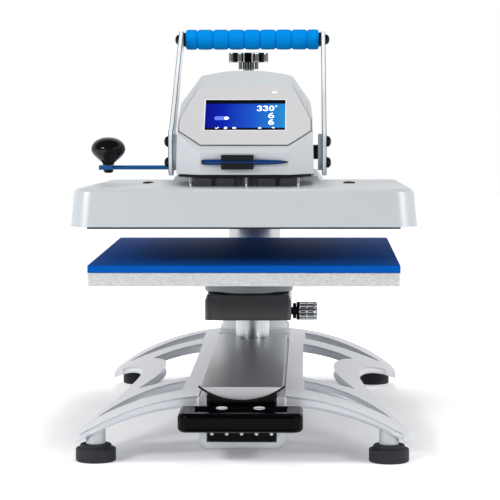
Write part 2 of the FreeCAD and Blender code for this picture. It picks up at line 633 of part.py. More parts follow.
def head_frame():
    """Two cheeks that carry the cross shaft, a back wall bolted to the arm and a floor plate."""
    parts = []
    for side, start in (("left", "-frame_across"), ("right", "frame_across - frame_wall")):
        parts.append(box("cheek_" + side, (start, "-frame_front", FLOOR_TOP),
                         ("frame_wall", "frame_front + arm_start", "frame_top - floor_low - floor_thick")))
    parts.append(box("frame_back", ("-frame_across", "arm_start - frame_back_wall", FLOOR_TOP),
                     ("2 * frame_across", "frame_back_wall", "frame_top - floor_low - floor_thick")))
    bore = rod("shaft_bore", "shaft_radius + fit_gap", "4 * frame_across",
               ("-2 * frame_across", "-pivot_place", "pivot_height"), "x")
    node(cut("head_frame", fuse("frame_blank", *parts), bore), "head_frame")
    inner = "2 * (frame_across - frame_wall)"
    corner = ("-(frame_across - frame_wall)", "-block_depth / 2", "frame_top - block_height")
    block = box("block_blank", corner, (inner, "block_depth", "block_height"))
    thread = rod("block_thread", "screw_press_radius + fit_gap", "frame_top", ("0", "0", "frame_top / 2"))
    node(cut("pressure_block", block, thread), "pressure_block")
    plan = head_plan(v.shell_wall + v.seat_gap)
    floor = padded("floor_blank", "XY", "floor_thick", ("0", "0", "floor_low"), plan, both=False)
    sweep = cam_reach() + 3
    front = v.pivot_place + sweep
    behind = v.cam_room
    corner = ("-yoke_half - 5 * hole_gap", "-%.3f" % front, "floor_low - floor_thick")
    opening = box("yoke_opening", corner,
                  ("2 * yoke_half + 10 * hole_gap", "%.3f" % (sweep + behind), "3 * floor_thick"))
    holes = [opening]
    holes.append(rod("centre_hole", "shaft_press_radius + bush_sleeve + slip_gap", "3 * floor_thick",
                     ("0", "0", "floor_low - floor_thick")))
    for side in ("-", ""):
        holes.append(rod("guide_hole", "guide_radius + bush_sleeve + slip_gap", "3 * floor_thick",
                         (side + "guide_across", "-guide_place", "floor_low - floor_thick")))
    node(cut("bottom_plate", floor, *holes), "bottom_plate")
    node(fuse("guide_bushes", *[guide_bush(*spot) for spot in GUIDES]), "guide_bushes")


GUIDES = (
    ("shaft_press_radius", "0", "0"),
    ("guide_radius", "-guide_across", "-guide_place"),
    ("guide_radius", "guide_across", "-guide_place"),
)


def guide_bush(radius, x, y):
    """A flanged bronze bush in the floor plate."""
    sleeve = rod("guide_bush_body", radius + " + bush_sleeve", "floor_thick", (x, y, "floor_low"))
    rim = rod("guide_bush_rim", radius + " + bush_sleeve + bush_rim", "bush_rim_thick", (x, y, FLOOR_TOP))
    hole = rod("guide_bush_bore", radius + " + fit_gap", "4 * floor_thick",
               (x, y, "floor_low - floor_thick"))
    return cut("guide_bush", fuse("guide_bush_blank", sleeve, rim), hole)


def cam_reach():
    """How far the cam's tip stands from the shaft's axis."""
    return math.hypot(v.cam_low + press_travel, cam_pitch)


def head_plan(wall):
    """The head's outline from above: a chin with a facet on each side, and straight sides."""
    half, chin = v.shell_half, v.chin_half
    front, facet, rear = -v.chin_place, -v.facet_back, v.shell_rear
    corners = [(-chin, front), (chin, front), (half, facet), (half, rear), (-half, rear), (-half, facet)]
    return inset(corners, wall)


def face_point(up, out=0.0):
    """A point of the sloping face: a distance up it from the bezel's lower edge, and out of it."""
    slope = math.radians(v.face_angle)
    return (-v.bezel_place + up * math.sin(slope) - out * math.cos(slope),
            v.bezel_height + up * math.cos(slope) + out * math.sin(slope))


def head_side(wall):
    """The head's outline from the side: chin, sloping face, level top and straight back."""
    top = v.shell_crown + v.hole_gap
    slope = math.radians(v.face_angle)
    chin_up = (v.bezel_place - v.chin_place) / math.sin(slope)
    top_up = (top - v.bezel_height) / math.cos(slope)
    chin_corner, top_corner = face_point(chin_up), face_point(top_up)
    low = v.shell_low - v.over_cut
    return inset([(-v.chin_place, low), (v.shell_rear, low), (v.shell_rear, top), top_corner, chin_corner],
                 wall)


def head_section(wall):
    """The head's outline from the front: upright sides, a shoulder and a crowned top."""
    half, side, shoulder, crown = v.shell_half, v.shell_side_half, v.shell_shoulder_half, v.shell_crown_half
    low = v.shell_low
    if wall:
        half += (half - side) * v.over_cut / (v.shell_side_top - low)
        low -= v.over_cut
    right = [(half - wall, low), (side - wall, v.shell_side_top - wall / 3),
             (shoulder - wall, v.shell_side_top + v.shell_shoulder_rise - wall / 2), (crown - wall / 2, v.shell_crown_edge - wall)]
    left = [(-x, z) for x, z in reversed(right)]
    return right + [[(0, v.shell_crown - wall), left[0]]] + left[1:]


def head_solid(name, wall):
    side = padded(name + "_side", "YZ", "4 * shell_half", ("0", "0", "0"), head_side(wall))
    front = padded(name + "_front", "XZ", "4 * chin_place", ("0", "0", "0"), head_section(wall))
    plan = padded(name + "_plan", "XY", "2 * shell_crown", ("0", "0", "0"), head_plan(wall), both=False)
    return common(name, side, front, plan)


def face_slab(name, path, low, high):
    """A plate parallel to the sloping face, drawn in that face's own plane."""
    body = doc.addObject("PartDesign::Body", name)
    profile = sketch(body, name + "_outline", "XY", *path)
    pad = body.newObject("PartDesign::Pad", name + "_pad")
    pad.Profile = profile
    pad.Length = high - low
    y, z = face_point(0, low)
    body.Placement = Placement(Vector(0, y, z), Rotation(Vector(1, 0, 0), 90 - v.face_angle))
    return body


def rectangle(x0, y0, x1, y1):
    return [(x0, y0), (x1, y0), (x1, y1), (x0, y1)]


def housing():
    """The head's shell, with openings for the screen, shaft, screw, arm, rod and power fittings."""
    outer = rounded("shell_rounded", head_solid("shell_outer", 0.0), v.shell_round,
                    lambda edge: edge.BoundBox.ZMax > v.shell_low + 1
                    and edge.BoundBox.YMax < v.shell_rear - 1)
    inner = head_solid("shell_inner", v.shell_wall)
    gap = v.hole_gap
    screen = face_slab("screen_opening", [screen_path(gap)], -3 * v.shell_wall, 3 * v.shell_wall)
    tools = [inner, screen]
    tools.append(rod("shaft_hole", "shaft_radius + hole_gap", "4 * shell_half",
                     ("-2 * shell_half", "-pivot_place", "pivot_height"), "x"))
    tools.append(rod("screw_hole", "screw_press_radius + hole_gap", "shell_crown",
                     ("0", "0", "shell_crown / 2 + frame_top / 2")))
    behind = "shell_rear - 4 * shell_wall"
    tools.append(box("arm_opening", ("-arm_width / 2 - 2 * hole_gap", behind, "floor_low"),
                     ("arm_width + 4 * hole_gap", "8 * shell_wall", "arm_top + 4 * hole_gap - floor_low")))
    tools.append(rod("rod_hole", "rod_radius + hole_gap / 2", "shell_half",
                     ("-shell_half / 2", "rod_place", "rod_height"), "-x"))
    tools.append(box("rod_notch", ("-2 * shell_half", "rod_place - rod_radius - hole_gap / 2", "floor_low"),
                     ("shell_half * 1.5", "2 * rod_radius + hole_gap", "rod_height - floor_low")))
    tools.append(box("inlet_hole", ("-inlet_across - inlet_width / 2", behind,
                                    "power_height - inlet_height / 2"),
                     ("inlet_width", "8 * shell_wall", "inlet_height")))
    tools.append(box("switch_hole", ("switch_across - switch_width / 2 - switch_gap / 2", behind,
                                     "power_height - switch_height / 2 - switch_gap"),
                     ("switch_width + switch_gap", "8 * shell_wall", "switch_height + 2 * switch_gap")))
    tools.append(rod("breaker_hole", "breaker_radius + seat_gap", "8 * shell_wall",
                     ("breaker_across", behind, "power_height"), "y"))
    node(cut("housing_shell", outer, *tools), "housing_shell")


def screen_path(grow):
    half = v.screen_width / 2 + grow
    return rectangle(-half, v.screen_low - grow, half, v.screen_low + v.screen_length + grow)


def light_path(grow):
    half = v.light_width / 2 + grow
    x, y = v.light_across, v.light_place
    return rectangle(x - half, y - v.light_length / 2 - grow, x + half, y + v.light_length / 2 + grow)


def control_face():
    """The bezel, the touch screen in its window, the indicator light and the board behind them."""
    right = [(v.bezel_low_half, 0), (v.bezel_wide_half, v.bezel_wide_low),
             (v.bezel_wide_half, v.bezel_wide_high), (v.bezel_top_half, v.bezel_length)]
    edge = right + [(-x, y) for x, y in reversed(right)]
    windows = [screen_path(v.slip_gap), light_path(v.slip_gap)]
    node(face_slab("bezel_plate", [edge] + windows, 0, v.bezel_thick), "bezel")
    glass = face_slab("screen_glass", [screen_path(0)], -v.shell_wall, v.bezel_thick - v.slip_gap)
    back = -v.shell_wall - v.screen_back
    lip = face_slab("screen_lip_plate", [screen_path(v.screen_lip)], back, -v.shell_wall)
    node(fuse("touch_screen", glass, lip), "touch_screen")
    node(face_slab("light_lens", [light_path(0)], 0, v.bezel_thick + v.slip_gap), "status_light")
    board_top = back - v.board_gap
    board = face_slab("board", [screen_path(-v.board_margin)], board_top - v.board_thick, board_top)
    pieces = [board]
    half, low, long = v.screen_width / 2, v.screen_low, v.screen_length
    size, margin = v.spacer, v.board_margin + v.spacer / 2
    for x in (margin - half, half - margin - size):
        for y in (low + margin, low + long - margin - size):
            pieces.append(face_slab("board_spacer", [rectangle(x, y, x + size, y + size)], board_top, back))
    for across, along, share in ((-0.28, 0.33, 0.27), (0.0, 0.2, 0.36), (0.26, 0.43, 0.2)):
        x, y, size = across * v.screen_width, low + along * long, share * long
        chip_top = board_top - v.board_thick
        pieces.append(face_slab("board_chip", [rectangle(x, y, x + size, y + size)],
                                chip_top - v.chip_height, chip_top))
    node(fuse("control_board", *pieces), "control_board")


def stylus():
    """A stylus in an open clip on the chin."""
    middle_y = "-chin_place - holder_depth / 2"
    corner = ("-holder_left", "-chin_place - holder_depth", "stylus_height - holder_height / 2")
    block = box("holder_blank", corner, ("holder_left + holder_right", "holder_depth", "holder_height"))
    bore = rod("holder_bore", "stylus_radius + stylus_gap", "4 * holder_left",
               ("-2 * holder_left", middle_y, "stylus_height"), "x")
    corner = ("-2 * holder_left", "-chin_place - 2 * holder_depth", "stylus_height - holder_slot / 2")
    slot = box("holder_mouth", corner, ("4 * holder_left", "holder_depth * 1.5", "holder_slot"))
    node(cut("stylus_holder", block, bore, slot), "stylus_holder")
    r, half, tip = v.stylus_radius, v.stylus_length / 2, v.stylus_tip
    section = [(0, -half), (r * 0.45, -half), (r * 0.85, tip - half), (r, 2 * tip - half), (r, half - tip),
               (r * 0.9, half - tip / 3), (r * 0.35, half), (0, half)]
    node(turned("pen", ("stylus_centre", middle_y, "stylus_height"), section, TURNS["-x"]), "stylus")


def pressure_knob():
    """The star knob and the screw whose end sets how high the platen starts."""
    node(rod("press_screw", "screw_press_radius", "star_low - shaft_press_top - seat_gap",
             ("0", "0", "shaft_press_top + seat_gap")), "pressure_screw")
    hub = rod("hub", "hub_radius", "star_low - hub_low", ("0", "0", "hub_low"))
    star = rod("star", "star_radius", "star_top - star_low", ("0", "0", "star_low"))
    notches = [rod("screw_room", "screw_press_radius + slip_gap", "star_low - hub_low",
                   ("0", "0", "hub_low"))]
    for index in range(int(v.star_notches)):
        angle = math.radians((index + 0.5) * 360 / v.star_notches)
        notches.append(rod("star_notch_%d" % index, "star_notch", "2 * star_top",
                           ("(star_radius + star_notch / 3) * %.6f" % math.cos(angle),
                            "(star_radius + star_notch / 3) * %.6f" % math.sin(angle), "star_low / 2")))
    node(cut("pressure_knob", fuse("knob_blank", hub, star), *notches), "pressure_knob")


def handle():
    """Cross shaft, crank plates, flat bars and the foam grip on its tube."""
    node(rod("shaft", "shaft_radius", "2 * crank_inner", ("-crank_inner", "-pivot_place", "pivot_height"),
             "x"), "cross_shaft")
    y, z = -v.pivot_place, v.pivot_height
    bolt = v.bolt_half
    crank_path = stadium(y, z - v.crank_half, v.crank_radius, y, z + v.crank_half, v.crank_radius)
    foot_path = stadium(y, z - bolt, v.bar_low_radius, y, z + bolt, v.bar_low_radius)
    arm_path = stadium(y, z + bolt / 2, v.bar_low_radius, v.grip_back, v.grip_height, v.bar_top_radius)
    bolts = []
    cranks = []
    for name, side, along in (("left", "-", "-x"), ("right", "", "x")):
        sign = -1 if side else 1
        seat = side + "(crank_inner + crank_thick)"
        holes = []
        both = (side + "crank_inner", "crank_thick + bar_thick")
        spots = (("-pivot_place", "pivot_height + bolt_half") + both,
                 ("-pivot_place", "pivot_height - bolt_half") + both,
                 ("grip_back", "grip_height", seat, "bar_thick"))
        for place_y, place_z, start, deep in spots:
            holes.append(rod("bolt_hole", "bolt_radius + slip_gap", "2 * bar_thick + crank_thick",
                             (side + "(crank_inner - bar_thick / 2)", place_y, place_z), along))
            shank = rod("bolt_shank", "bolt_radius", deep, (start, place_y, place_z), along)
            head = rod("bolt_top", "bolt_head_radius", "bolt_head",
                       (side + "(crank_inner + crank_thick + bar_thick)", place_y, place_z), along)
            bolts.append(fuse("bolt", shank, head))
        crank = padded("crank_" + name, "YZ", "crank_thick",
                       (side + "(crank_inner + crank_thick / 2)", "0", "0"), crank_path)
        cranks.append(cut("crank_drilled_" + name, crank, *holes))
        middle = side + "(crank_inner + crank_thick + bar_thick / 2)"
        lower = padded("bar_foot_" + name, "YZ", "bar_thick", (middle, "0", "0"), foot_path)
        upper = padded("bar_arm_" + name, "YZ", "bar_thick", (middle, "0", "0"), arm_path)
        node(cut("bar_" + name, fuse("bar_blank_" + name, lower, upper), *holes), "handle_bar_" + name)
    node(fuse("cranks", *cranks), "crank_plates")
    node(fuse("handle_bolts", *bolts), "handle_bolts")
    tube = "crank_inner + crank_thick"
    node(rod("tube", "tube_radius", "2 * (%s)" % tube, ("-(%s)" % tube, "grip_back", "grip_height"), "x"),
         "grip_tube")
    foam()


def foam():
    """The foam sleeve on the grip, with a groove between its segments."""
    r, bore, half = v.grip_radius, v.tube_radius + v.slip_gap, v.grip_half
    step = 2 * half / v.grip_segments
    wide, deep = v.grip_groove_width / 2, v.grip_groove
    section = [(bore, half), (bore, -half), (r - deep, -half), (r, -half + wide)]
    for index in range(1, int(v.grip_segments)):
        x = -half + index * step
        section += [(r, x - wide), (r - deep, x), (r, x + wide)]
    section += [(r, half - wide), (r - deep, half)]
    node(turned("foam", ("0", "grip_back", "grip_height"), section, TURNS["x"]), "foam_grip")


def cam_shape():
    """One cam: an involute rim that lowers a flat pad evenly, closed by a tangent and the hub."""
    low, pitch, swing = v.cam_low, cam_pitch, math.radians(v.handle_swing)

    def rim(turn):
        lift = low + pitch * turn
        return Vector(0, -lift * math.sin(turn) - pitch * math.cos(turn),
                      -lift * math.cos(turn) + pitch * math.sin(turn))

    steps = 24
    curve = Part.BSplineCurve()
    curve.interpolate([rim(swing * index / steps) for index in range(steps + 1)])
    back = math.radians(55)
    rise = Vector(0, low * math.cos(back), low * math.sin(back))
    edges = [
        Part.makeLine(Vector(0, 0, -low), rim(0)), curve.toShape(), Part.makeLine(rim(swing), rise),
        Part.Arc(rise, Vector(0, low, 0), Vector(0, 0, -low)).toShape(),
    ]
    face = Part.Face(Part.Wire(edges))
    face.translate(Vector(-v.cam_thick / 2, 0, 0))
    bore = Part.makeCylinder(v.shaft_radius + v.slip_gap, 2 * v.cam_thick, Vector(-v.cam_thick, 0, 0),
                             Vector(1, 0, 0))
    return face.extrude(Vector(v.cam_thick, 0, 0)).cut(bore)


def cams():
    pieces = []
    for side in ("-", ""):
        item = doc.addObject("Part::Feature", "cam")
        item.Shape = cam_shape()
        pieces.append(place(item, (side + "cam_across", "-pivot_place", "pivot_height")))
    node(fuse("press_cams", *pieces), "press_cams")


def press():
    """Everything that goes down with the platen: yoke, shaft, guides, heat platen and cover."""
    front = "%.3f" % (v.pivot_place + cam_pitch + v.yoke_overlap)
    base = box("yoke_base_plate", ("-yoke_base_half", "-yoke_base_depth - yoke_overlap", HEAT_TOP),
               ("2 * yoke_base_half", "2 * yoke_base_depth", "yoke_base"))
    block = box("yoke_pad", ("-yoke_half", "-" + front, HEAT_TOP),
                ("2 * yoke_half", "2 * yoke_overlap", "%s - (%s)" % (FOLLOWER_TOP, HEAT_TOP)))
    node(fuse("press_yoke", base, block), "press_yoke")
    node(rod("press_shaft", "shaft_press_radius", "shaft_press_top - (%s)" % YOKE_BASE_TOP,
             ("0", "0", YOKE_BASE_TOP)), "press_shaft")
    rods = []
    springs = []
    spring_low = FLOOR_TOP + " + bush_rim_thick + seat_gap"
    for side in ("-", ""):
        at = (side + "guide_across", "-guide_place")
        shank = rod("guide_shank", "guide_radius", "guide_top - (%s)" % YOKE_BASE_TOP,
                    at + (YOKE_BASE_TOP,))
        collar = rod("guide_collar", "guide_collar_radius", "guide_collar",
                     at + ("guide_top - guide_collar",))
        rods.append(fuse("guide_rod", shank, collar))
        length = "guide_top - guide_collar - seat_gap - (%s)" % spring_low
        coil = rod("spring_coil", "spring_radius", length, at + (spring_low,))
        core = rod("spring_core", "spring_radius - spring_wire", "2 * guide_top", at + ("0",))
        springs.append(cut("spring", coil, core))
    node(fuse("guide_rods", *rods), "guide_rods")
    node(fuse("lift_springs", *springs), "lift_springs")
    node(slab("hot_plate", "platen_width", "platen_depth", "heat_platen_thick", ("0", "0", HEAT_LOW),
              "platen_corner"), "heat_platen")
    for name, low, thick in (("heating_element", HEAT_TOP, "element_thick"),
                             ("insulation", ELEMENT_TOP, "insulation_thick")):
        corner = ("-platen_width / 2 + sheet_margin", "-platen_depth / 2 + sheet_margin", low)
        blank = box(name + "_blank", corner,
                    ("platen_width - 2 * sheet_margin", "platen_depth - 2 * sheet_margin", thick))
        corner = ("-yoke_base_half - hole_gap", "-yoke_base_depth - yoke_overlap - hole_gap", low)
        holes = [box(name + "_room", corner,
                     ("2 * (yoke_base_half + hole_gap)", "2 * (yoke_base_depth + hole_gap)", thick))]
        for side in ("-", ""):
            holes.append(rod("boss_room", "boss_radius + hole_gap", thick,
                             (side + "cover_screw_across", "0", low)))
        node(cut(name, blank, *holes), name)


def ring_path(half, front, rear, corner):
    """A rectangle with rounded corners, from the middle of its front edge."""
    k = corner * (1 - math.sqrt(0.5))
    return [
        (-half + corner, front), (half - corner, front), [(half - k, front + k), (half, front + corner)],
        (half, rear - corner), [(half - k, rear - k), (half - corner, rear)], (-half + corner, rear),
        [(-half + k, rear - k), (-half, rear - corner)], (-half, front + corner),
        [(-half + k, front + k), (-half + corner, front)],
    ]


def cover_reach():
    """How far the cover reaches from the middle: to each side, to the front and to the rear."""
    return (v.platen_width / 2 + v.cover_side_margin, v.platen_depth / 2 + v.cover_front_margin,
            v.platen_depth / 2 + v.cover_rear_margin)


def cover_solid(name, wall, low):
    """A drafted box with rounded corners and a rounded top that falls gently to the rear."""
    body = doc.addObject("PartDesign::Body", name)
    draft = v.cover_draft
    side_reach, front_reach, rear_reach = cover_reach()
    tilt = math.atan2(v.cover_rear_top - v.cover_front_top, front_reach + rear_reach - 2 * draft)
    stretch = 1 / math.cos(tilt)
    lower = sketch(body, name + "_lower", "XY",
                   ring_path(side_reach - wall, wall - front_reach, rear_reach - wall,
                             v.cover_corner - wall))
    lower.AttachmentOffset = Placement(Vector(0, 0, low), Rotation())
    sections = []
    for step in range(4):
        angle = math.radians(30 * step)
        inward = wall + (v.cover_round - wall) * (1 - math.cos(angle))
        drop = wall + (v.cover_round - wall) * (1 - math.sin(angle))
        front = draft - front_reach + inward
        rear = rear_reach - draft - inward
        upper = sketch(body, name + "_upper_%d" % step, "XY",
                       ring_path(side_reach - v.cover_side_draft - inward, 0, (rear - front) * stretch,
                                 v.cover_corner - inward))
        fall = math.tan(tilt) * (front - draft + front_reach)
        upper.AttachmentOffset = Placement(Vector(0, front, v.cover_front_top + fall - drop),
                                           Rotation(Vector(1, 0, 0), math.degrees(tilt)))
        sections.append(upper)
    loft = body.newObject("PartDesign::AdditiveLoft", name + "_loft")
    loft.Profile = lower
    loft.Sections = sections
    loft.Ruled = True
    return body


def cover_top(y):
    """The height of the cover's top at a place along the press."""
    side_reach, front_reach, rear_reach = cover_reach()
    fall = (v.cover_front_top - v.cover_rear_top) / (front_reach + rear_reach - 2 * v.cover_draft)
    return v.cover_front_top - fall * (y + front_reach - v.cover_draft)


def hump_solid(name, wall):
    """The raised middle of the cover, under the head."""
    half, slope, top = v.hump_half - wall, v.hump_slope, v.hump_top - wall
    base = v.cover_rear_top - v.cover_wall - 3 * wall
    path = [(-half, base), (half, base), (half - slope, top), (-half + slope, top)]
    return padded(name, "XZ", "2 * hump_depth - %.3f" % (2 * wall), ("0", "0", "0"), path)


def cover():
    """The painted cover over the heat platen, on two bosses that its screws go down."""
    low = number(COVER_LOW)
    outer = cover_solid("cover_outer", 0.0, low)
    inner = cover_solid("cover_inner", v.cover_wall, low - v.cover_wall)
    blank = fuse("cover_blank", outer, hump_solid("hump", 0.0))
    hollow = cut("cover_hollow", blank, inner, hump_solid("hump_inner", v.cover_wall))
    seat = "%.3f" % (cover_top(-v.cover_screw_radius))
    bosses = []
    tools = []
    screws = []
    for side in ("-", ""):
        x = side + "cover_screw_across"
        length = "%.3f - (%s)" % (cover_top(v.boss_radius) - v.cover_wall / 2, HEAT_TOP)
        bosses.append(rod("cover_boss", "boss_radius", length, (x, "0", HEAT_TOP)))
        tools.append(rod("boss_hole", "screw_radius + slip_gap", "2 * cover_front_top", (x, "0", "0")))
        shank = rod("cover_shank", "screw_radius", seat + " - (%s)" % HEAT_TOP, (x, "0", HEAT_TOP))
        head = rod("cover_head", "cover_screw_radius", "cover_screw_head", (x, "0", seat))
        screws.append(fuse("cover_screw", shank, head))
        tools.append(rod("guide_room", "guide_radius + hole_gap", "cover_front_top",
                         (side + "guide_across", "-guide_place", HEAT_TOP)))
    tools.append(rod("press_shaft_room", "shaft_press_radius + hole_gap", "cover_front_top",
                     ("0", "0", HEAT_TOP)))
    front = "%.3f" % (v.pivot_place + cam_pitch + v.yoke_overlap + v.hole_gap)
    tools.append(box("yoke_room", ("-yoke_half - hole_gap", "-" + front, HEAT_TOP),
                     ("2 * (yoke_half + hole_gap)", "2 * (yoke_overlap + hole_gap)", "cover_front_top")))
    node(cut("platen_cover", fuse("cover_shell", hollow, *bosses), *tools), "platen_cover")
    node(fuse("cover_screws", *screws), "cover_screws")


def swing_handle():
    """The side rod with its eye, and the pear-shaped ball that turns on it."""
    shank = rod("side_rod", "rod_radius", "rod_end - shell_half + shell_wall + seat_gap",
                ("-shell_half + shell_wall + seat_gap", "rod_place", "rod_height"), "-x")
    eye = box("rod_eye", ("-rod_end - eye_length", "rod_place - eye_width / 2", "rod_height - eye_half"),
              ("eye_length", "eye_width", "2 * eye_half"))
    bore = rod("eye_bore", "ball_stud + fit_gap", "4 * eye_width",
               ("-ball_centre", "rod_place", "rod_height - 2 * eye_width"))
    node(cut("swing_rod", fuse("rod_and_eye", shank, eye), bore), "swing_rod")
    low, top, r, neck = v.rod_height + v.eye_half + v.seat_gap, v.ball_top, v.ball_radius, v.ball_neck
    wide = top - r
    stud_low = low - v.ball_stud_length / 2
    section = [
        (0, stud_low), (v.ball_stud, stud_low), (v.ball_stud, low), (neck, low),
        (r * 0.65, low + (wide - low) * 0.25), (r * 0.87, low + (wide - low) * 0.55),
        (r * 0.97, low + (wide - low) * 0.8), (r, wide),
        [(r * math.sqrt(0.5), wide + r * math.sqrt(0.5)), (0, top)],
    ]
    node(turned("ball", ("-ball_centre", "rod_place", "0"), section), "swing_knob")


def power():
    """Inlet, rocker switch and breaker button on the rear wall, and the relay inside."""
    body = box("inlet_body", ("-inlet_across - inlet_width / 2 + slip_gap", "shell_rear - inlet_depth",
                              "power_height - inlet_height / 2 + slip_gap"),
               ("inlet_width - 2 * slip_gap", "inlet_depth", "inlet_height - 2 * slip_gap"))
    rim = box("inlet_flange", ("-inlet_across - inlet_width / 2 - inlet_rim", "shell_rear",
                               "power_height - inlet_height / 2 - inlet_rim"),
              ("inlet_width + 2 * inlet_rim", "inlet_rim_thick", "inlet_height + 2 * inlet_rim"))
    socket = box("inlet_mouth", ("-inlet_across - inlet_width / 2 + inlet_rim", "shell_rear - inlet_socket",
                                 "power_height - inlet_height / 2 + inlet_rim"),
                 ("inlet_width - 2 * inlet_rim", "2 * inlet_socket", "inlet_height - 2 * inlet_rim"))
    pins = []
    for index in (-1, 0, 1):
        pins.append(box("inlet_pin", ("-inlet_across - inlet_rim / 4 + %d * inlet_width / 5" % index,
                                      "shell_rear - inlet_socket", "power_height - inlet_rim"),
                        ("inlet_rim / 2", "inlet_socket * 0.8", "inlet_rim * 1.6")))
    hollow = cut("inlet_hollow", fuse("inlet_blank", body, rim), socket)
    node(fuse("power_inlet", hollow, *pins), "power_inlet")
    rocker()
    node(rod("breaker", "breaker_radius", "breaker_length",
             ("breaker_across", "shell_rear + breaker_proud - breaker_length", "power_height"), "y"),
         "breaker_button")
    node(box("relay", ("-relay_width / 2", "arm_start - frame_back_wall - relay_depth", "relay_low"),
             ("relay_width", "relay_depth", "relay_height")), "power_relay")


def rocker():
    """The switch's rocker, tilted about an axle in the middle of the wall."""
    half, high = v.switch_depth / 2, v.switch_height / 2
    blank = padded("rocker", "YZ", "switch_width",
                   ("switch_across", "shell_rear - shell_wall / 2", "power_height"),
                   rectangle(-half, -high, half, high))
    blank.Placement = Placement(blank.Placement.Base, Rotation(Vector(1, 0, 0), -v.switch_tilt))
    node(blank, "power_switch")


def check():
    """Stops if any object failed, or if a sub-part is empty or invalid."""
    for item in doc.Objects:
        if "Invalid" in item.State or "Error" in item.State:
            raise RuntimeError("failed: %s %s" % (item.Name, item.State))
    for name, item in NODES:
        if item.Shape.isNull() or not item.Shape.isValid() or item.Shape.Volume <= 0:
            raise RuntimeError("bad shape: " + name)


def export():
    os.makedirs("parts", exist_ok=True)
    for name, item in NODES:
        item.Shape.exportStep(os.path.join("parts", name + ".step"))
        print("%-20s solids %d volume %.0f" % (name, len(item.Shape.Solids), item.Shape.Volume))


base_spine()
legs()
feet()
drawer_pull(slide())
pedestal()
platen_lock()
column()
swing_arm()
head_frame()
housing()
control_face()
stylus()
pressure_knob()
handle()
cams()
press()
cover()
swing_handle()
power()
doc.recompute()
check()
export()
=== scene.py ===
"""Dresses the swing-away heat press: finishes, rounded edges, grip, knobs, screen, stage and camera."""

import json
import math

import bmesh
import bpy
from bpy.props import FloatProperty, FloatVectorProperty, IntProperty, PointerProperty
from bpy.types import Operator, Panel, PropertyGroup
from mathutils import Matrix, Vector
from mathutils.bvhtree import BVHTree


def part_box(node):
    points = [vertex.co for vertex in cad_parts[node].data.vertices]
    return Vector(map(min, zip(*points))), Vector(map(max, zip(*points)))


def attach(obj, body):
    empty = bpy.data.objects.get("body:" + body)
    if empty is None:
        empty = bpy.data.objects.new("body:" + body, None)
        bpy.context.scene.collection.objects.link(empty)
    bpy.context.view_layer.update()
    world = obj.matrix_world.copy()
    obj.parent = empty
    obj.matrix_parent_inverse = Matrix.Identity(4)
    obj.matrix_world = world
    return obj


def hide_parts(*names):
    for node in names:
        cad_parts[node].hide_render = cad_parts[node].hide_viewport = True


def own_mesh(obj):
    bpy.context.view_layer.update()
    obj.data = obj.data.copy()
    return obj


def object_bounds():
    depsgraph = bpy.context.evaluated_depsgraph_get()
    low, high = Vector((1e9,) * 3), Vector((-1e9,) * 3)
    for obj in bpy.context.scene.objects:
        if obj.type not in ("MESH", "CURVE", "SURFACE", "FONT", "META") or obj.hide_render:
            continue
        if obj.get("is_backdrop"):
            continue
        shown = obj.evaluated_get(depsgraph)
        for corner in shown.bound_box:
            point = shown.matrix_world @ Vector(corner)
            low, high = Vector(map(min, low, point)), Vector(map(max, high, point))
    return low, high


bl_info = {
    "name": "Swing-away heat press",
    "version": (1, 0, 0),
    "blender": (4, 5, 0),
    "location": "View3D > Sidebar > Heat press",
    "description": "Finishes, knobs, grip, screen and stage for a swing-away heat press",
    "category": "Add Mesh",
}

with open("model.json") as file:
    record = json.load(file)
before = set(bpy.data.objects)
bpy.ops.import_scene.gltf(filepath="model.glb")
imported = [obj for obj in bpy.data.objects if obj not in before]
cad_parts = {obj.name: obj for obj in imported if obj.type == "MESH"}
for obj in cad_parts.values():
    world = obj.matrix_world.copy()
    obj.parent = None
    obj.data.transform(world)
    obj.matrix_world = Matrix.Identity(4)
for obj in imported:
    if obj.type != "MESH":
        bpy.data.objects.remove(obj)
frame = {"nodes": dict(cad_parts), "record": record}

MM = 0.001

FACE_FOOT = Vector((0, -0.207, 0.396))  # foot of the sloping control face
FACE_TILT = math.radians(49.5)  # its lean back from upright
FACE_UP = Vector((0, math.sin(FACE_TILT), math.cos(FACE_TILT)))
FACE_OUT = Vector((0, -math.cos(FACE_TILT), math.sin(FACE_TILT)))
GLASS_OUT = 2.4 * MM  # from the control face to the front of the glass
BEZEL_OUT = 2.5 * MM  # and to the front of the bezel
MARK_RELIEF = 0.06 * MM  # thickness of the figures on the glass

END_LOBE = 0.73  # width of the grip's two end lobes against the others
# One lobe of the grip: share of its width, and share of the groove's depth
HALF_LOBE = ((0.03, 0.95), (0.055, 0.45), (0.1, 0.2), (0.2, 0.07), (0.35, 0.01))
GRIP_LOBE = (*HALF_LOBE, (0.5, 0.0), *((1 - share, drop) for share, drop in reversed(HALF_LOBE)))

# The camera that was fitted to the photograph
CAMERA_SPOT = (0.085, -3.0887, 0.4833)
CAMERA_DOWN = math.radians(4.455)
CAMERA_ROLL = 0.0019
CAMERA_YAW = 0.02687

# Each lamp: where it stands, what it points at, its width and height, and its watts
LAMPS = {
    "key_softbox": ((-1.7, -2.2, 1.3), (0, 0, 0.3), 1.0, 0.4, 27),
    "fill_softbox": ((1.9, -2.0, 1.1), (0, 0, 0.3), 1.0, 0.4, 18),
    "left_strip": ((-2.3, -0.8, 0.9), (0, 0, 0.3), 0.5, 1.0, 22),
    "right_strip": ((2.3, -0.8, 0.9), (0, 0, 0.3), 0.5, 1.0, 17),
    "top_softbox": ((0.1, -0.1, 2.2), (0, 0, 0.1), 0.5, 0.5, 12),
}


def linear(code):
    """An sRGB hex colour as linear red, green and blue."""
    parts = [int(code[i : i + 2], 16) / 255 for i in (1, 3, 5)]
    return [c / 12.92 if c <= 0.04045 else ((c + 0.055) / 1.055) ** 2.4 for c in parts]


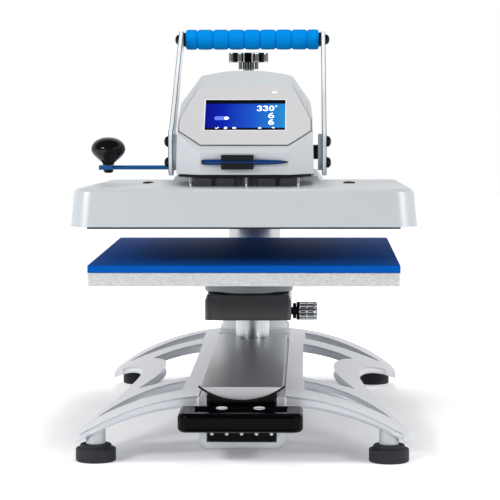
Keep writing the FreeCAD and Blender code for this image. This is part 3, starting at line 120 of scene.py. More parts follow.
def colour(name, description, code):
    """A colour that a user may change, from its sRGB hex value."""
    return FloatVectorProperty(
        name=name,
        description=description,
        subtype="COLOR",
        size=3,
        min=0,
        max=1,
        default=linear(code),
    )


def length(name, description, millimetres):
    """A length that a user may change, from its millimetres."""
    return FloatProperty(
        name=name,
        description=description,
        subtype="DISTANCE",
        unit="LENGTH",
        default=millimetres * MM,
    )


class PressColours(PropertyGroup):
    """Colours of the press that a user may change."""

    silver: colour("Silver", "Powder coat of the head, the cover and the handle bars", "#C6CBCF")
    casting: colour("Casting", "Powder coat of the base and the legs", "#CBCDD3")
    clamp: colour("Clamp grey", "Enamel of the clamp block under the platen", "#2F3135")
    bezel: colour("Bezel", "Moulded frame round the screen", "#BDBCBE")
    pad: colour("Pad", "Silicone rubber pad on the lower platen", "#0054B0")
    foam: colour("Foam", "Foam grip of the handle", "#0082D2")
    rod: colour("Side rod", "Enamel of the side rod and its eye", "#165A9A")
    stylus: colour("Stylus", "Moulded body of the stylus", "#0A3068")
    phenolic: colour("Black", "Knobs, drawer handle and switches", "#08090A")
    rubber: colour("Rubber", "Feet", "#2A2C30")
    screen_left: colour("Screen, left", "Picture of the screen at its left edge", "#0420B2")
    screen_right: colour("Screen, right", "Picture of the screen at its right edge", "#2B98D9")
    floor: colour("Floor", "Plain pale floor of the stage", "#F4F5F6")


class PressSizes(PropertyGroup):
    """Sizes of the pieces that the scene makes itself."""

    casting_round: length("Casting edges", "Rounding of the cast edges", 0.9)
    sheet_round: length("Sheet edges", "Rounding of folded and cut sheet edges", 0.6)
    grip_groove: length("Grip grooves", "Depth of the grooves between the foam lobes", 2.2)
    grip_lobes: IntProperty(name="Grip lobes", description="Lobes of the foam grip", default=9)
    star_lobes: IntProperty(name="Star lobes", description="Lobes of the star knob", default=8)
    digit_height: length("Digits", "Height of the digits on the screen", 10.0)
    digit_stroke: length("Digit stroke", "Width of the digits' strokes", 1.6)
    ambient: FloatProperty(
        name="Ambient light",
        description="Level of the soft light from all round",
        subtype="FACTOR",
        min=0,
        max=1,
        default=0.37,
    )
    camera_focal: FloatProperty(
        name="Camera focal length",
        description="Focal length for a 36 mm wide sensor",
        subtype="DISTANCE_CAMERA",
        default=158.3,
    )


def colours():
    """The colours as the user has set them."""
    return bpy.context.scene.press_colours


def sizes():
    """The sizes as the user has set them."""
    return bpy.context.scene.press_sizes


# Materials

TONE_DRIFT = 60 * MM  # width of the slow drift of tone in paint
PEEL_DEPTH = 0.05 * MM  # relief of paint and of moulded skins
TOOL_MARK_DEPTH = 0.03 * MM  # relief of tool marks in bare metal


def add(tree, kind, settings=None, links=None):
    """Adds a node, sets its properties and sockets, and links sources into its sockets."""
    node = tree.nodes.new(kind)
    for key, value in (settings or {}).items():
        if key == "stops":
            ramp = node.color_ramp.elements
            while len(ramp) < len(value):
                ramp.new(0.5)
            for stop, (place, tone) in zip(ramp, value):
                stop.position = place
                stop.color = (*tone, 1)
        elif isinstance(key, str) and hasattr(node, key):
            setattr(node, key, value)
        else:
            node.inputs[key].default_value = value
    for key, source in (links or {}).items():
        tree.links.new(source, node.inputs[key])
    return node


def start(name):
    """An empty material's tree with the object's own coordinates in metres."""
    material = bpy.data.materials.new(name)
    material.use_nodes = True
    tree = material.node_tree
    tree.nodes.clear()
    place = add(tree, "ShaderNodeTexCoord").outputs["Object"]
    return material, tree, place


def close(tree, shader):
    """Sends a shader to the material's surface."""
    add(tree, "ShaderNodeOutputMaterial", {}, {"Surface": shader})


def shades(base, spread):
    """Two tones round a base colour, for a colour that drifts a little over the surface."""
    return (
        (0.0, [c * (1 - spread) for c in base]),
        (1.0, [min(1, c * (1 + spread)) for c in base]),
    )


def surface(tree, tones, tint, grain, rough, relief, settings):
    """Shared by painted, worked_metal and moulded: tones by one pattern, gloss by another."""
    tone = add(tree, "ShaderNodeValToRGB", {"stops": tones}, {"Fac": tint})
    rubbed = add(
        tree,
        "ShaderNodeMapRange",
        {"To Min": rough[0], "To Max": rough[1]},
        {"Value": grain},
    )
    bump = add(
        tree,
        "ShaderNodeBump",
        {"Strength": relief[0], "Distance": relief[1]},
        {"Height": grain},
    )
    shader = add(
        tree,
        "ShaderNodeBsdfPrincipled",
        settings,
        {
            "Base Color": tone.outputs["Color"],
            "Roughness": rubbed.outputs["Result"],
            "Normal": bump.outputs["Normal"],
        },
    )
    close(tree, shader.outputs["BSDF"])


def painted(name, base, rough, metallic, grain_mm, peel, coat=0.0, spread=0.03, gloss=0.5):
    """Paint on metal: a slow drift of tone, with the paint's peel in its gloss and relief."""
    material, tree, place = start(name)
    drift = add(
        tree,
        "ShaderNodeTexNoise",
        {"Scale": 1 / TONE_DRIFT, "Detail": 2.0},
        {"Vector": place},
    )
    skin = add(
        tree,
        "ShaderNodeTexNoise",
        {"Scale": 1 / (grain_mm * MM), "Detail": 1.0},
        {"Vector": place},
    )
    surface(
        tree,
        shades(base, spread),
        drift.outputs["Fac"],
        skin.outputs["Fac"],
        (rough - 0.05, rough + 0.07),
        (peel, PEEL_DEPTH),
        {
            "Metallic": metallic,
            "Coat Weight": coat,
            "Coat Roughness": 0.12,
            "Specular IOR Level": gloss,
        },
    )
    return material


def worked_metal(name, base, rough, stretch, grain_mm, streak, tarnish=0.04):
    """Bare metal whose tool left lines: the noise is drawn out along the tool's way."""
    material, tree, place = start(name)
    lines = add(
        tree,
        "ShaderNodeMapping",
        {"Scale": tuple(1 / (grain_mm * MM * s) for s in stretch)},
        {"Vector": place},
    )
    cut = add(
        tree,
        "ShaderNodeTexNoise",
        {"Scale": 1.0, "Detail": 3.0},
        {"Vector": lines.outputs["Vector"]},
    )
    surface(
        tree,
        shades(base, tarnish),
        cut.outputs["Fac"],
        cut.outputs["Fac"],
        (rough * 0.75, rough * 1.3),
        (streak, TOOL_MARK_DEPTH),
        {"Metallic": 1.0},
    )
    return material


def moulded(name, base, rough, grain_mm, grain, spread=0.02, ior=1.5, sheen=0.0, gloss=0.5):
    """A moulded plastic or rubber: one colour, with the mould's texture in gloss and relief."""
    material, tree, place = start(name)
    skin = add(
        tree,
        "ShaderNodeTexNoise",
        {"Scale": 1 / (grain_mm * MM), "Detail": 3.0},
        {"Vector": place},
    )
    surface(
        tree,
        shades(base, spread),
        skin.outputs["Fac"],
        skin.outputs["Fac"],
        (max(0.03, rough - 0.05), rough + 0.06),
        (grain, PEEL_DEPTH),
        {
            "IOR": ior,
            "Specular IOR Level": gloss,
            "Sheen Weight": sheen,
            "Sheen Roughness": 0.5,
        },
    )
    return material


def silver_powder_coat():
    """Powder-coated steel and aluminium, silver: an even satin grey with a faint sparkle."""
    # Width of the grain chosen
    return painted(
        "silver_powder_coat",
        colours().silver,
        rough=0.4,
        metallic=0.25,
        grain_mm=1.1,
        peel=0.12,
        coat=0.05,
    )


def casting_powder_coat():
    """Powder-coated sand castings: paler, with a coarser peel over the cast skin."""
    # Drawn coarser than foundry sand's grains, which are too fine to show; width chosen
    return painted(
        "casting_powder_coat",
        colours().casting,
        rough=0.34,
        metallic=0.4,
        grain_mm=2.2,
        peel=0.2,
        coat=0.1,
    )


def grey_enamel():
    """Stoved enamel on cast iron, dark grey: a soft gloss that picks up broad highlights."""
    # Width of the waves chosen
    return painted(
        "grey_stove_enamel",
        colours().clamp,
        rough=0.3,
        metallic=0.0,
        grain_mm=6.0,
        peel=0.04,
        coat=0.3,
        spread=0.08,
        gloss=0.4,
    )


def black_enamel():
    """Gloss black enamel on a casting: deep black with sharp highlights along the edges."""
    # Width of the peel chosen
    return painted(
        "black_gloss_enamel",
        linear("#040507"),
        rough=0.1,
        metallic=0.0,
        grain_mm=2.4,
        peel=0.05,
        gloss=0.06,
    )


def satin_black_and_painted_shade():
    """Satin black paint on sheet steel, for plates seen only as a dark line; also the painted shade
    below the slide's front and round the bezel's foot.
    """
    # Width of the peel chosen
    return painted(
        "satin_black_paint_and_painted_shade",
        linear("#0D0E10"),
        rough=0.5,
        metallic=0.0,
        grain_mm=1.2,
        peel=0.1,
        gloss=0.2,
    )


def hot_plate_coating():
    """Sprayed and baked non-stick coating on cast aluminium: dull black with a dry, fine grain."""
    # Drawn coarser than a blasted ground, which is too fine to show; width chosen
    return painted(
        "baked_nonstick_coating",
        linear("#121214"),
        rough=0.46,
        metallic=0.0,
        grain_mm=0.8,
        peel=0.3,
    )


def bar_lacquer_and_painted_highlight():
    """Silver lacquer on the flat bars: brighter and glossier than the powder coat. On the pull plate's
    two ovals it is a painted highlight.
    """
    # Drawn much coarser than lacquer's peel, because a finer grain rendered as specks
    return painted(
        "silver_bar_lacquer_and_painted_highlight",
        linear("#EAEFF2"),
        rough=0.3,
        metallic=0.15,
        grain_mm=14.0,
        peel=0.02,
        coat=0.1,
        spread=0.01,
    )


def zinc_flake():
    """Zinc flake coating on the crank plates: a cool mid grey with a dull metal sheen."""
    # Drawn much coarser than zinc flakes, which are too fine to show; width chosen
    return painted(
        "zinc_flake_coating",
        linear("#98A5AE"),
        rough=0.4,
        metallic=0.35,
        grain_mm=1.0,
        peel=0.1,
        spread=0.06,
    )


def rod_enamel():
    """Enamel on the steel side rod: blue, with a narrow highlight along it."""
    # Width of the peel chosen
    return painted(
        "blue_gloss_enamel",
        colours().rod,
        rough=0.26,
        metallic=0.1,
        grain_mm=1.5,
        peel=0.08,
        coat=0.1,
        gloss=0.3,
    )


def brushed_slide_steel():
    """Stainless steel, brushed lengthwise: long fine lines that blur what it mirrors."""
    # Drawn coarser than a belt's scratches, which are too fine to show; width chosen
    return worked_metal(
        "brushed_stainless_steel",
        linear("#C4C5C7"),
        rough=0.34,
        stretch=(1, 60, 1),
        grain_mm=0.9,
        streak=0.25,
    )


def milled_aluminium():
    """Sawn and milled aluminium plate: short tool marks and bright specks along its edges."""
    # Drawn coarser than a cutter's marks, which are too fine to show; width chosen
    return worked_metal(
        "milled_aluminium",
        linear("#D2D3D4"),
        rough=0.42,
        stretch=(3, 3, 1),
        grain_mm=1.5,
        streak=1.0,
        tarnish=0.34,
    )


def turned_aluminium():
    """Turned aluminium tube: fine rings round it, so highlights run down its length."""
    # Drawn coarser than a lathe's feed, which is too fine to show; width chosen
    return worked_metal(
        "turned_aluminium",
        linear("#C9CCD0"),
        rough=0.3,
        stretch=(40, 40, 1),
        grain_mm=0.7,
        streak=0.2,
    )


def ground_steel():
    """Ground and polished steel shafts and rods: near mirror with faint grinding rings."""
    # Drawn coarser than grinding scratches, which are too fine to show; width chosen
    return worked_metal(
        "ground_steel",
        linear("#C2C4C6"),
        rough=0.16,
        stretch=(30, 30, 1),
        grain_mm=0.5,
        streak=0.08,
    )


def cut_steel_plate():
    """Cold-rolled steel plate, oiled: grey with rolling marks and a slight brown cast."""
    # Drawn coarser than rolling marks, which are too fine to show; width chosen
    return worked_metal(
        "cold_rolled_steel",
        linear("#858079"),
        rough=0.34,
        stretch=(1, 25, 3),
        grain_mm=1.0,
        streak=0.2,
        tarnish=0.1,
    )


def bar_edge_painted_reflection():
    """Corners of the flat bars: a dark slate blue line, a painted reflection along their rounding."""
    # Drawn coarser than a saw's marks, which are too fine to show; width chosen
    return worked_metal(
        "bar_edge_painted_reflection",
        linear("#4A5D70"),
        rough=0.3,
        stretch=(4, 1, 1),
        grain_mm=1.2,
        streak=0.05,
        tarnish=0.08,
    )


def black_oxide_steel():
    """Steel screws and shaft, black oxide: near black metal with a soft oily highlight."""
    # Width of the oil's patches chosen
    return worked_metal(
        "black_oxide_steel",
        linear("#202226"),
        rough=0.24,
        stretch=(6, 6, 6),
        grain_mm=1.0,
        streak=0.06,
        tarnish=0.1,
    )


def phosphated_steel():
    """Turned steel, phosphated: dark grey, satin, with fine rings from the lathe."""
    # Drawn coarser than a lathe's feed, which is too fine to show; width chosen
    return worked_metal(
        "phosphated_steel",
        linear("#6E7276"),
        rough=0.36,
        stretch=(20, 20, 1),
        grain_mm=0.9,
        streak=0.12,
        tarnish=0.08,
    )


def black_nickel():
    """Black nickel plate on a cast knob: near black, with the lamps as sharp bright streaks."""
    # Width of the waves chosen
    return worked_metal(
        "black_nickel_plate",
        linear("#1D1E21"),
        rough=0.1,
        stretch=(1, 1, 1),
        grain_mm=5.0,
        streak=0.03,
        tarnish=0.06,
    )


def chrome_and_painted_highlight():
    """Chrome plate on a cast knob: a clean mirror that breaks up over the flutes. On the knobs' black
    flanks it stands as a painted highlight.
    """
    # Width of the waves chosen
    return worked_metal(
        "chrome_plate_and_painted_highlight",
        linear("#E8EAEC"),
        rough=0.07,
        stretch=(6, 6, 6),
        grain_mm=1.5,
        streak=0.02,
        tarnish=0.02,
    )


def sintered_bronze():
    """Sintered bronze bushes: warm, dull and slightly porous."""
    # Drawn coarser than the pores, which are too fine to show; width chosen
    return worked_metal(
        "sintered_bronze",
        linear("#A98450"),
        rough=0.4,
        stretch=(1, 1, 1),
        grain_mm=0.6,
        streak=0.4,
        tarnish=0.12,
    )


def spring_wire():
    """Oil-tempered spring wire: dark grey with drawing lines."""
    # Drawn coarser than a die's lines, which are too fine to show; width chosen
    return worked_metal(
        "oil_tempered_wire",
        linear("#5E6064"),
        rough=0.35,
        stretch=(1, 1, 8),
        grain_mm=0.6,
        streak=0.2,
        tarnish=0.08,
    )


def neoprene_skirt():
    """Neoprene, moulded, for the skirt round the press works: blue-black, half dull."""
    # Drawn coarser than a mould's texture, which is too fine to show; width chosen
    return moulded(
        "moulded_neoprene",
        linear("#26282D"),
        rough=0.42,
        grain_mm=0.9,
        grain=0.15,
        spread=0.1,
        ior=1.52,
        gloss=0.6,
    )


def polished_phenolic():
    """Phenolic resin, moulded and polished: the black of the knobs, with a wet gloss."""
    # Width of the waves chosen
    return moulded(
        "polished_phenolic",
        colours().phenolic,
        rough=0.07,
        grain_mm=3.0,
        grain=0.02,
        spread=0.05,
        ior=1.6,
        gloss=0.2,
    )


def black_abs():
    """ABS, moulded with a light spark texture: black, slightly grey under the lamps."""
    # Drawn coarser than a spark texture, which is too fine to show; width chosen
    return moulded(
        "moulded_black_abs",
        linear("#0E0F11"),
        rough=0.36,
        grain_mm=0.6,
        grain=0.2,
        spread=0.05,
        ior=1.53,
        gloss=0.2,
    )


def bezel_abs():
    """ABS, moulded with a satin skin: the warm pale grey frame of the screen."""
    # Drawn coarser than a satin skin, which is too fine to show; width chosen
    return moulded(
        "moulded_grey_abs",
        colours().bezel,
        rough=0.42,
        grain_mm=0.5,
        grain=0.1,
        spread=0.015,
        ior=1.53,
    )


def pale_lip():
    """ABS, moulded: the bezel's lip, paler than its face."""
    # Drawn coarser than a satin skin, which is too fine to show; width chosen
    return moulded(
        "moulded_pale_abs",
        linear("#E9E8EA"),
        rough=0.3,
        grain_mm=0.8,
        grain=0.05,
        spread=0.01,
        ior=1.53,
    )


def pen_abs():
    """ABS barrel of the stylus, moulded gloss: navy with a narrow highlight."""
    # Width of the waves chosen
    return moulded(
        "moulded_navy_abs",
        colours().stylus,
        rough=0.2,
        grain_mm=2.0,
        grain=0.05,
        spread=0.05,
        ior=1.53,
        gloss=0.25,
    )


def relay_case():
    """Nylon, moulded, for the relay's case: dull black."""
    # Drawn coarser than a spark texture, which is too fine to show; width chosen
    return moulded(
        "moulded_black_nylon",
        linear("#202124"),
        rough=0.5,
        grain_mm=0.7,
        grain=0.2,
        spread=0.05,
        ior=1.53,
    )


def foot_rubber():
    """Nitrile rubber, moulded: dark grey, dry, with a dusty bloom."""
    # Width of the bloom's clouds chosen
    return moulded(
        "moulded_nitrile_rubber",
        colours().rubber,
        rough=0.6,
        grain_mm=1.2,
        grain=0.3,
        spread=0.12,
        ior=1.52,
        gloss=0.25,
    )


def silicone_rubber():
    """Silicone rubber sheet, pressed: saturated blue with a fine cloth print from its mould."""
    # Drawn coarser than a cloth's threads, which are too fine to show; width chosen
    return moulded(
        "pressed_silicone_rubber",
        colours().pad,
        rough=0.62,
        grain_mm=1.0,
        grain=0.15,
        spread=0.05,
        ior=1.41,
        gloss=0.08,
    )


def grip_foam():
    """Nitrile foam sleeve: closed cells, seen as a fine pimpled skin without gloss."""
    # Drawn coarser than the foam's cells, which are too fine to show; width chosen
    return moulded(
        "nitrile_foam",
        colours().foam,
        rough=0.8,
        grain_mm=0.9,
        grain=0.6,
        spread=0.07,
        gloss=0.04,
    )


def mica_sheet():
    """Mica sheet with its heating tape: brown, in pearly layers."""
    # Width of the flakes chosen
    return moulded(
        "layered_mica",
        linear("#9A7F58"),
        rough=0.32,
        grain_mm=4.0,
        grain=0.2,
        spread=0.25,
        ior=1.58,
    )


def mineral_wool():
    """Mineral wool board: off-white, matted, with loose fibres."""
    # Width of the tufts chosen
    return moulded(
        "mineral_wool",
        linear("#CFCBBE"),
        rough=0.95,
        grain_mm=1.2,
        grain=1.0,
        spread=0.15,
        sheen=0.2,
    )


def circuit_board():
    """Glass-epoxy board with solder resist: green over the weave, tracks a shade lighter."""
    material, tree, place = start("solder_resist_board")
    tracks = add(
        tree,
        "ShaderNodeTexBrick",
        {
            "Scale": 1.0,
            "Brick Width": 6 * MM,
            "Row Height": 1.3 * MM,
            "Mortar Size": 0.25 * MM,
            "Color1": (*linear("#0E5A34"), 1),
            "Color2": (*linear("#12693D"), 1),
            "Mortar": (*linear("#0A4226"), 1),
        },
        {"Vector": place},
    )
    shader = add(
        tree,
        "ShaderNodeBsdfPrincipled",
        {"Roughness": 0.3, "IOR": 1.55},
        {"Base Color": tracks.outputs["Color"]},
    )
    close(tree, shader.outputs["BSDF"])
    return material


def lit_screen():
    """Liquid crystal panel under cover glass: blue light, brighter to the right, bars top and bottom."""
    material, tree, place = start("lit_panel_under_glass")
    low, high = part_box("touch_screen")
    foot, head = low.z + 6.4 * MM, high.z - 1.4 * MM  # of the lit part of the glass
    parts = add(tree, "ShaderNodeSeparateXYZ", {}, {"Vector": place})
    across = add(
        tree,
        "ShaderNodeMapRange",
        {"From Min": low.x, "From Max": high.x},
        {"Value": parts.outputs["X"]},
    )
    picture = add(
        tree,
        "ShaderNodeValToRGB",
        {
            "stops": (
                (0.0, linear("#04088C")),
                (0.25, colours().screen_left),
                (0.6, linear("#1C59D2")),
                (1.0, colours().screen_right),
            )
        },
        {"Fac": across.outputs["Result"]},
    )
    up = add(
        tree,
        "ShaderNodeMapRange",
        {"From Min": foot, "From Max": head},
        {"Value": parts.outputs["Z"]},
    )
    dark, clear = linear("#05060E"), (1, 1, 1)
    bars = add(
        tree,
        "ShaderNodeValToRGB",
        {
            "stops": (
                (0.0, dark),
                (0.12, dark),
                (0.14, clear),
                (0.88, clear),
                (0.93, dark),
                (1.0, dark),
            )
        },
        {"Fac": up.outputs["Result"]},
    )
    shown = add(
        tree,
        "ShaderNodeMix",
        {"data_type": "RGBA", "blend_type": "MULTIPLY", 0: 1.0},
        {6: picture.outputs["Color"], 7: bars.outputs["Color"]},
    )
    shader = add(
        tree,
        "ShaderNodeBsdfPrincipled",
        {
            "Base Color": (*linear("#04050A"), 1),
            "Roughness": 0.08,
            "IOR": 1.5,
            "Specular IOR Level": 0.12,
            "Emission Strength": 0.95,
        },
        {"Emission Color": shown.outputs[2]},
    )
    close(tree, shader.outputs["BSDF"])
    return material


def lit_mark(name, code, strength):
    """Lit marks of the panel: plain light with a slight unevenness from the backlight."""
    material, tree, place = start(name)
    patch = add(
        tree,
        "ShaderNodeTexNoise",
        {"Scale": 1 / (8 * MM), "Detail": 0.0},
        {"Vector": place},
    )
    tone = add(
        tree,
        "ShaderNodeValToRGB",
        {"stops": shades(linear(code), 0.04)},
        {"Fac": patch.outputs["Fac"]},
    )
    shader = add(
        tree,
        "ShaderNodeBsdfPrincipled",
        {"Roughness": 0.2, "IOR": 1.5, "Emission Strength": strength},
        {"Base Color": tone.outputs["Color"], "Emission Color": tone.outputs["Color"]},
    )
    close(tree, shader.outputs["BSDF"])
    return material


def screen_white():
    """Panel's lit white figures."""
    return lit_mark("lit_white_figures", "#F2F6FF", 0.9)


def screen_dim():
    """Panel's dimmed track behind a thumb: a mid blue."""
    return lit_mark("lit_dim_figures", "#4C63C8", 0.6)


def lamp_cap():
    """Clear polycarbonate cap of the indicator light, lit white from behind."""
    return lit_mark("lit_polycarbonate_cap", "#FFFFFF", 0.6)


BODY_OF = {n: b for b, nodes in frame["record"]["behaviour"]["bodies"].items() for n in nodes}
made_materials = {}


def finish(make):
    """The material that a finish function makes, made once."""
    if make.__name__ not in made_materials:
        made_materials[make.__name__] = make()
    return made_materials[make.__name__]


# Shapes

WELD = 0.002 * MM  # corners closer than this are one corner
UPRIGHT = 0.3  # a face whose normal rises less than this is a wall
CROSSWAYS = 0.5  # a face that looks less than this across its knob's axis is an end face


def piece(name, bm, make, node, stands_for=(), round_angle=34):
    """Puts a mesh in the scene as a piece that rides with a CAD node's body."""
    mesh = bpy.data.meshes.new(name)
    bmesh.ops.recalc_face_normals(bm, faces=bm.faces)
    for face in bm.faces:
        face.smooth = True
    bm.to_mesh(mesh)
    bm.free()
    if not mesh.polygons:
        raise RuntimeError(name + " has no faces")
    mesh.set_sharp_from_angle(angle=math.radians(round_angle))
    mesh.materials.append(finish(make))
    obj = bpy.data.objects.new(name, mesh)
    bpy.context.scene.collection.objects.link(obj)
    even = obj.modifiers.new("even shading", "WEIGHTED_NORMAL")
    even.keep_sharp = True
    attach(obj, BODY_OF[node])
    if stands_for:
        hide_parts(*stands_for)
    return obj


def welded(node):
    """A CAD node's mesh as one skin, with its doubled corners joined."""
    bm = bmesh.new()
    bm.from_mesh(frame["nodes"][node].data)
    bmesh.ops.remove_doubles(bm, verts=bm.verts, dist=WELD)
    return bm


def softened(node, make, width, angle=28, steps=2, first=None):
    """A copy of a CAD node with its sharp edges rounded, standing for the node."""
    bm = welded(node)
    bmesh.ops.dissolve_limit(bm, angle_limit=math.radians(0.3), verts=bm.verts, edges=bm.edges)
    if first:
        first(bm)
    sharp = [
        edge
        for edge in bm.edges
        if edge.is_manifold and edge.calc_face_angle() > math.radians(angle)
    ]
    rounded(bm, sharp, width, steps)
    bmesh.ops.triangulate(bm, faces=[f for f in bm.faces if len(f.verts) > 4])
    return piece(node + "_dressed", bm, make, node, (node,))


def rounded(bm, edges, width, steps):
    """Rounds some edges of a mesh."""
    bmesh.ops.bevel(
        bm,
        geom=edges,
        offset=width,
        offset_type="OFFSET",
        segments=steps,
        profile=0.5,
        affect="EDGES",
        clamp_overlap=False,
        loop_slide=True,
    )


def sunk(bm, faces, lip, depth):
    """Sinks a region of a mesh and leaves a lip round it."""
    bmesh.ops.inset_region(bm, faces=faces, thickness=lip, depth=-depth, use_even_offset=True)


def sliced(bm, place, normal):
    """Cuts a mesh's faces along a plane, so that it can be reshaped there."""
    bmesh.ops.bisect_plane(
        bm,
        geom=[*bm.verts, *bm.edges, *bm.faces],
        dist=0.001 * MM,
        plane_co=place,
        plane_no=normal,
    )


def second_finish(obj, make, chosen):
    """Gives the faces that a test chooses a second finish."""
    obj.data.materials.append(finish(make))
    for face in obj.data.polygons:
        if chosen(face):
            face.material_index = 1


def painted_highlight_flanks(obj, make, centre, axis, turned_away):
    """Gives a knob's faces that look round it, and not out from its axis, a second finish: a painted
    highlight, bright streaks down a black knob.
    """

    def looks_round(face):
        out = face.center - centre
        out[axis] = 0
        flat = face.normal.copy()
        flat[axis] = 0
        return flat.length > CROSSWAYS and out.normalized().dot(flat.normalized()) < turned_away

    second_finish(obj, make, looks_round)


def islands(node):
    """Low and high corners of each loose part of a CAD node."""
    bm = welded(node)
    left = set(bm.verts)
    boxes = []
    while left:
        todo = [left.pop()]
        part = []
        while todo:
            vert = todo.pop()
            part.append(vert.co.copy())
            for edge in vert.link_edges:
                other = edge.other_vert(vert)
                if other in left:
                    left.remove(other)
                    todo.append(other)
        low = Vector([min(p[i] for p in part) for i in range(3)])
        boxes.append((low, Vector([max(p[i] for p in part) for i in range(3)])))
    bm.free()
    return boxes


def seat(node, origin, way):
    """Where a ray meets a CAD node's skin, for a screw that is set on it."""
    bm = bmesh.new()
    bm.from_mesh(frame["nodes"][node].data)
    spot = BVHTree.FromBMesh(bm).ray_cast(Vector(origin), Vector(way))[0]
    bm.free()
    if spot is None:
        raise RuntimeError("no seat on " + node)
    return spot


def in_mm(points):
    """Flat points that are given in millimetres."""
    return [(a * MM, b * MM) for a, b in points]


def upright(centre, height=0.0):
    """A place on an upright axis through a centre."""
    return Matrix.Translation(Vector((centre.x, centre.y, height)))


def along(origin, axis):
    """A place whose own Z axis points along an axis, with its Y axis up where it can."""
    z = Vector(axis).normalized()
    hint = Vector((0, 0, 1))
    if abs(hint.dot(z)) > 0.99:
        hint = Vector((0, 1, 0))
    x = hint.cross(z).normalized()
    place = Matrix((x, z.cross(x), z)).transposed().to_4x4()
    place.translation = Vector(origin)
    return place


def on_face():
    """The control face as a place: X across, Y up the slope, Z out of it."""
    place = Matrix((Vector((1, 0, 0)), FACE_UP, FACE_OUT)).transposed().to_4x4()
    place.translation = FACE_FOOT
    return place


def ellipse(centre, radii, first, last, steps):
    """Points along an elliptical arc, between two angles in degrees."""
    turns = [math.radians(first + (last - first) * k / steps) for k in range(steps + 1)]
    return [
        (centre[0] + radii[0] * math.cos(t), centre[1] + radii[1] * math.sin(t)) for t in turns
    ]


def scalloped(radius, deep, count, power, steps):
    """A circle with a number of evenly spaced dips, which a higher power makes narrower."""
    outline = []
    for k in range(steps):
        angle = 2 * math.pi * k / steps
        reach = radius - deep * abs(math.sin(angle * count / 2)) ** power
        outline.append((reach * math.cos(angle), reach * math.sin(angle)))
    return outline


def shrunk(points, distance):
    """A closed flat outline moved inwards by a distance."""
    count = len(points)
    area = sum(
        points[i][0] * points[(i + 1) % count][1] - points[(i + 1) % count][0] * points[i][1]
        for i in range(count)
    )
    side = 1 if area > 0 else -1
    out = []
    for i in range(count):
        a = Vector(points[i]) - Vector(points[i - 1])
        b = Vector(points[(i + 1) % count]) - Vector(points[i])
        normal = (a.normalized() + b.normalized()).normalized()
        across = Vector((-normal.y, normal.x)) * side
        lean = max(0.4, across.dot(Vector((-b.y, b.x)).normalized() * side))
        out.append(Vector(points[i]) + across * (distance / lean))
    return out


def skinned(bm, loops, round_trip=False):
    """Joins rings of points, each of the same count or a single point, into a closed skin."""
    rings = [[bm.verts.new(p) for p in points] for points in loops]
    pairs = list(zip(rings, rings[1:]))
    if round_trip:
        pairs.append((rings[-1], rings[0]))
    for low, high in pairs:
        count = max(len(low), len(high))
        for i in range(count):
            j = (i + 1) % count
            corners = [low[i % len(low)], low[j % len(low)], high[j % len(high)], high[i % len(high)]]
            bm.faces.new(list(dict.fromkeys(corners)))
    if not round_trip:
        for end in (rings[0], rings[-1]):
            if len(end) > 2:
                bm.faces.new(end)


def turned(bm, profile, place, steps=48):
    """A turned shape: radius and height pairs, spun about the place's own Z axis."""
    turns = [2 * math.pi * k / steps for k in range(steps)]
    loops = []
    for radius, height in profile:
        if radius <= 0:
            points = [Vector((0, 0, height))]
        else:
            points = [Vector((radius * math.cos(t), radius * math.sin(t), height)) for t in turns]
        loops.append([place @ point for point in points])
    skinned(bm, loops)


def dome(bm, place, radius, height, socket=0.0):
    """A domed screw head on a place's own Z axis, with a round socket if one is asked for."""
    foot, rim, steps = -0.5 * MM, height * 0.2, 8
    profile = [(0, foot), (radius, foot), (radius, rim)]
    last = math.degrees(math.acos(socket / radius)) if socket else 90
    for k in range(1, steps + 1):
        turn = math.radians(last * k / steps)
        profile.append((radius * math.cos(turn), rim + (height - rim) * math.sin(turn)))
    if socket:
        floor = height * 0.35
        profile += [(socket * 0.94, floor), (0, floor - 0.1 * MM)]
    else:
        profile[-1] = (0, height)
    turned(bm, profile, place, steps=24)


def plate(bm, outline, low, high, edge, place, steps=3):
    """A flat outline given thickness from low to high, with rounded rims."""
    turns = [math.pi / 2 * k / steps for k in range(steps + 1)]
    levels = [(low + edge * (1 - math.cos(t)), edge * (1 - math.sin(t))) for t in turns]
    levels += [(high - edge * (1 - math.sin(t)), edge * (1 - math.cos(t))) for t in turns]
    skinned(
        bm,
        [[place @ Vector((*p, level)) for p in shrunk(outline, inset)] for level, inset in levels],
    )


def stroke(bm, path, width, low, high, place, closed=False):
    """A flat ribbon of a path's own shape, for figures, marks, seals and grooves."""
    points = [Vector(p) for p in path]
    count = len(points)
    loops = []
    for k, here in enumerate(points):
        before = points[k - 1] if closed or k else here
        after = points[(k + 1) % count] if closed or k < count - 1 else here
        a, b = here - before, after - here
        a = (a if a.length else b).normalized()
        b = (b if b.length else a).normalized()
        lean = (a + b).normalized()
        side = Vector((-lean.y, lean.x)) * (width / 2 / max(0.5, lean.dot(b)))
        loops.append(
            [
                place @ Vector((*(here + side * way), height))
                for way, height in ((-1, low), (-1, high), (1, high), (1, low))
            ]
        )
    skinned(bm, loops, closed)


# Figures in a square of one unit, as strokes that are drawn in turn
FIGURES = {
    "0": ((ellipse((0.5, 0.5), (0.4, 0.42), 0, 345, 23), True),),
    "3": (
        (ellipse((0.46, 0.735), (0.38, 0.2), 165, -90, 12), False),
        (ellipse((0.46, 0.285), (0.44, 0.25), 90, -165, 12), False),
    ),
    "6": (
        (ellipse((0.5, 0.3), (0.41, 0.24), 0, 345, 23), True),
        (ellipse((0.72, 0.3), (0.63, 0.64), 180, 84, 12), False),
    ),
}


def figures(bm, text, right, low, width, height, weight, place):
    """Draws plain digits whose right edge and foot are given."""
    gap = width * 0.22
    for index, figure in enumerate(reversed(text)):
        left = right - width - index * (width + gap)
        for path, closed in FIGURES[figure]:
            drawn = [(left + x * width, low + y * height) for x, y in path]
            stroke(bm, drawn, weight, 0, MARK_RELIEF, place, closed)


class PressOperator(Operator):
    """Shared settings of the press's operators."""

    bl_options = {"REGISTER", "UNDO"}


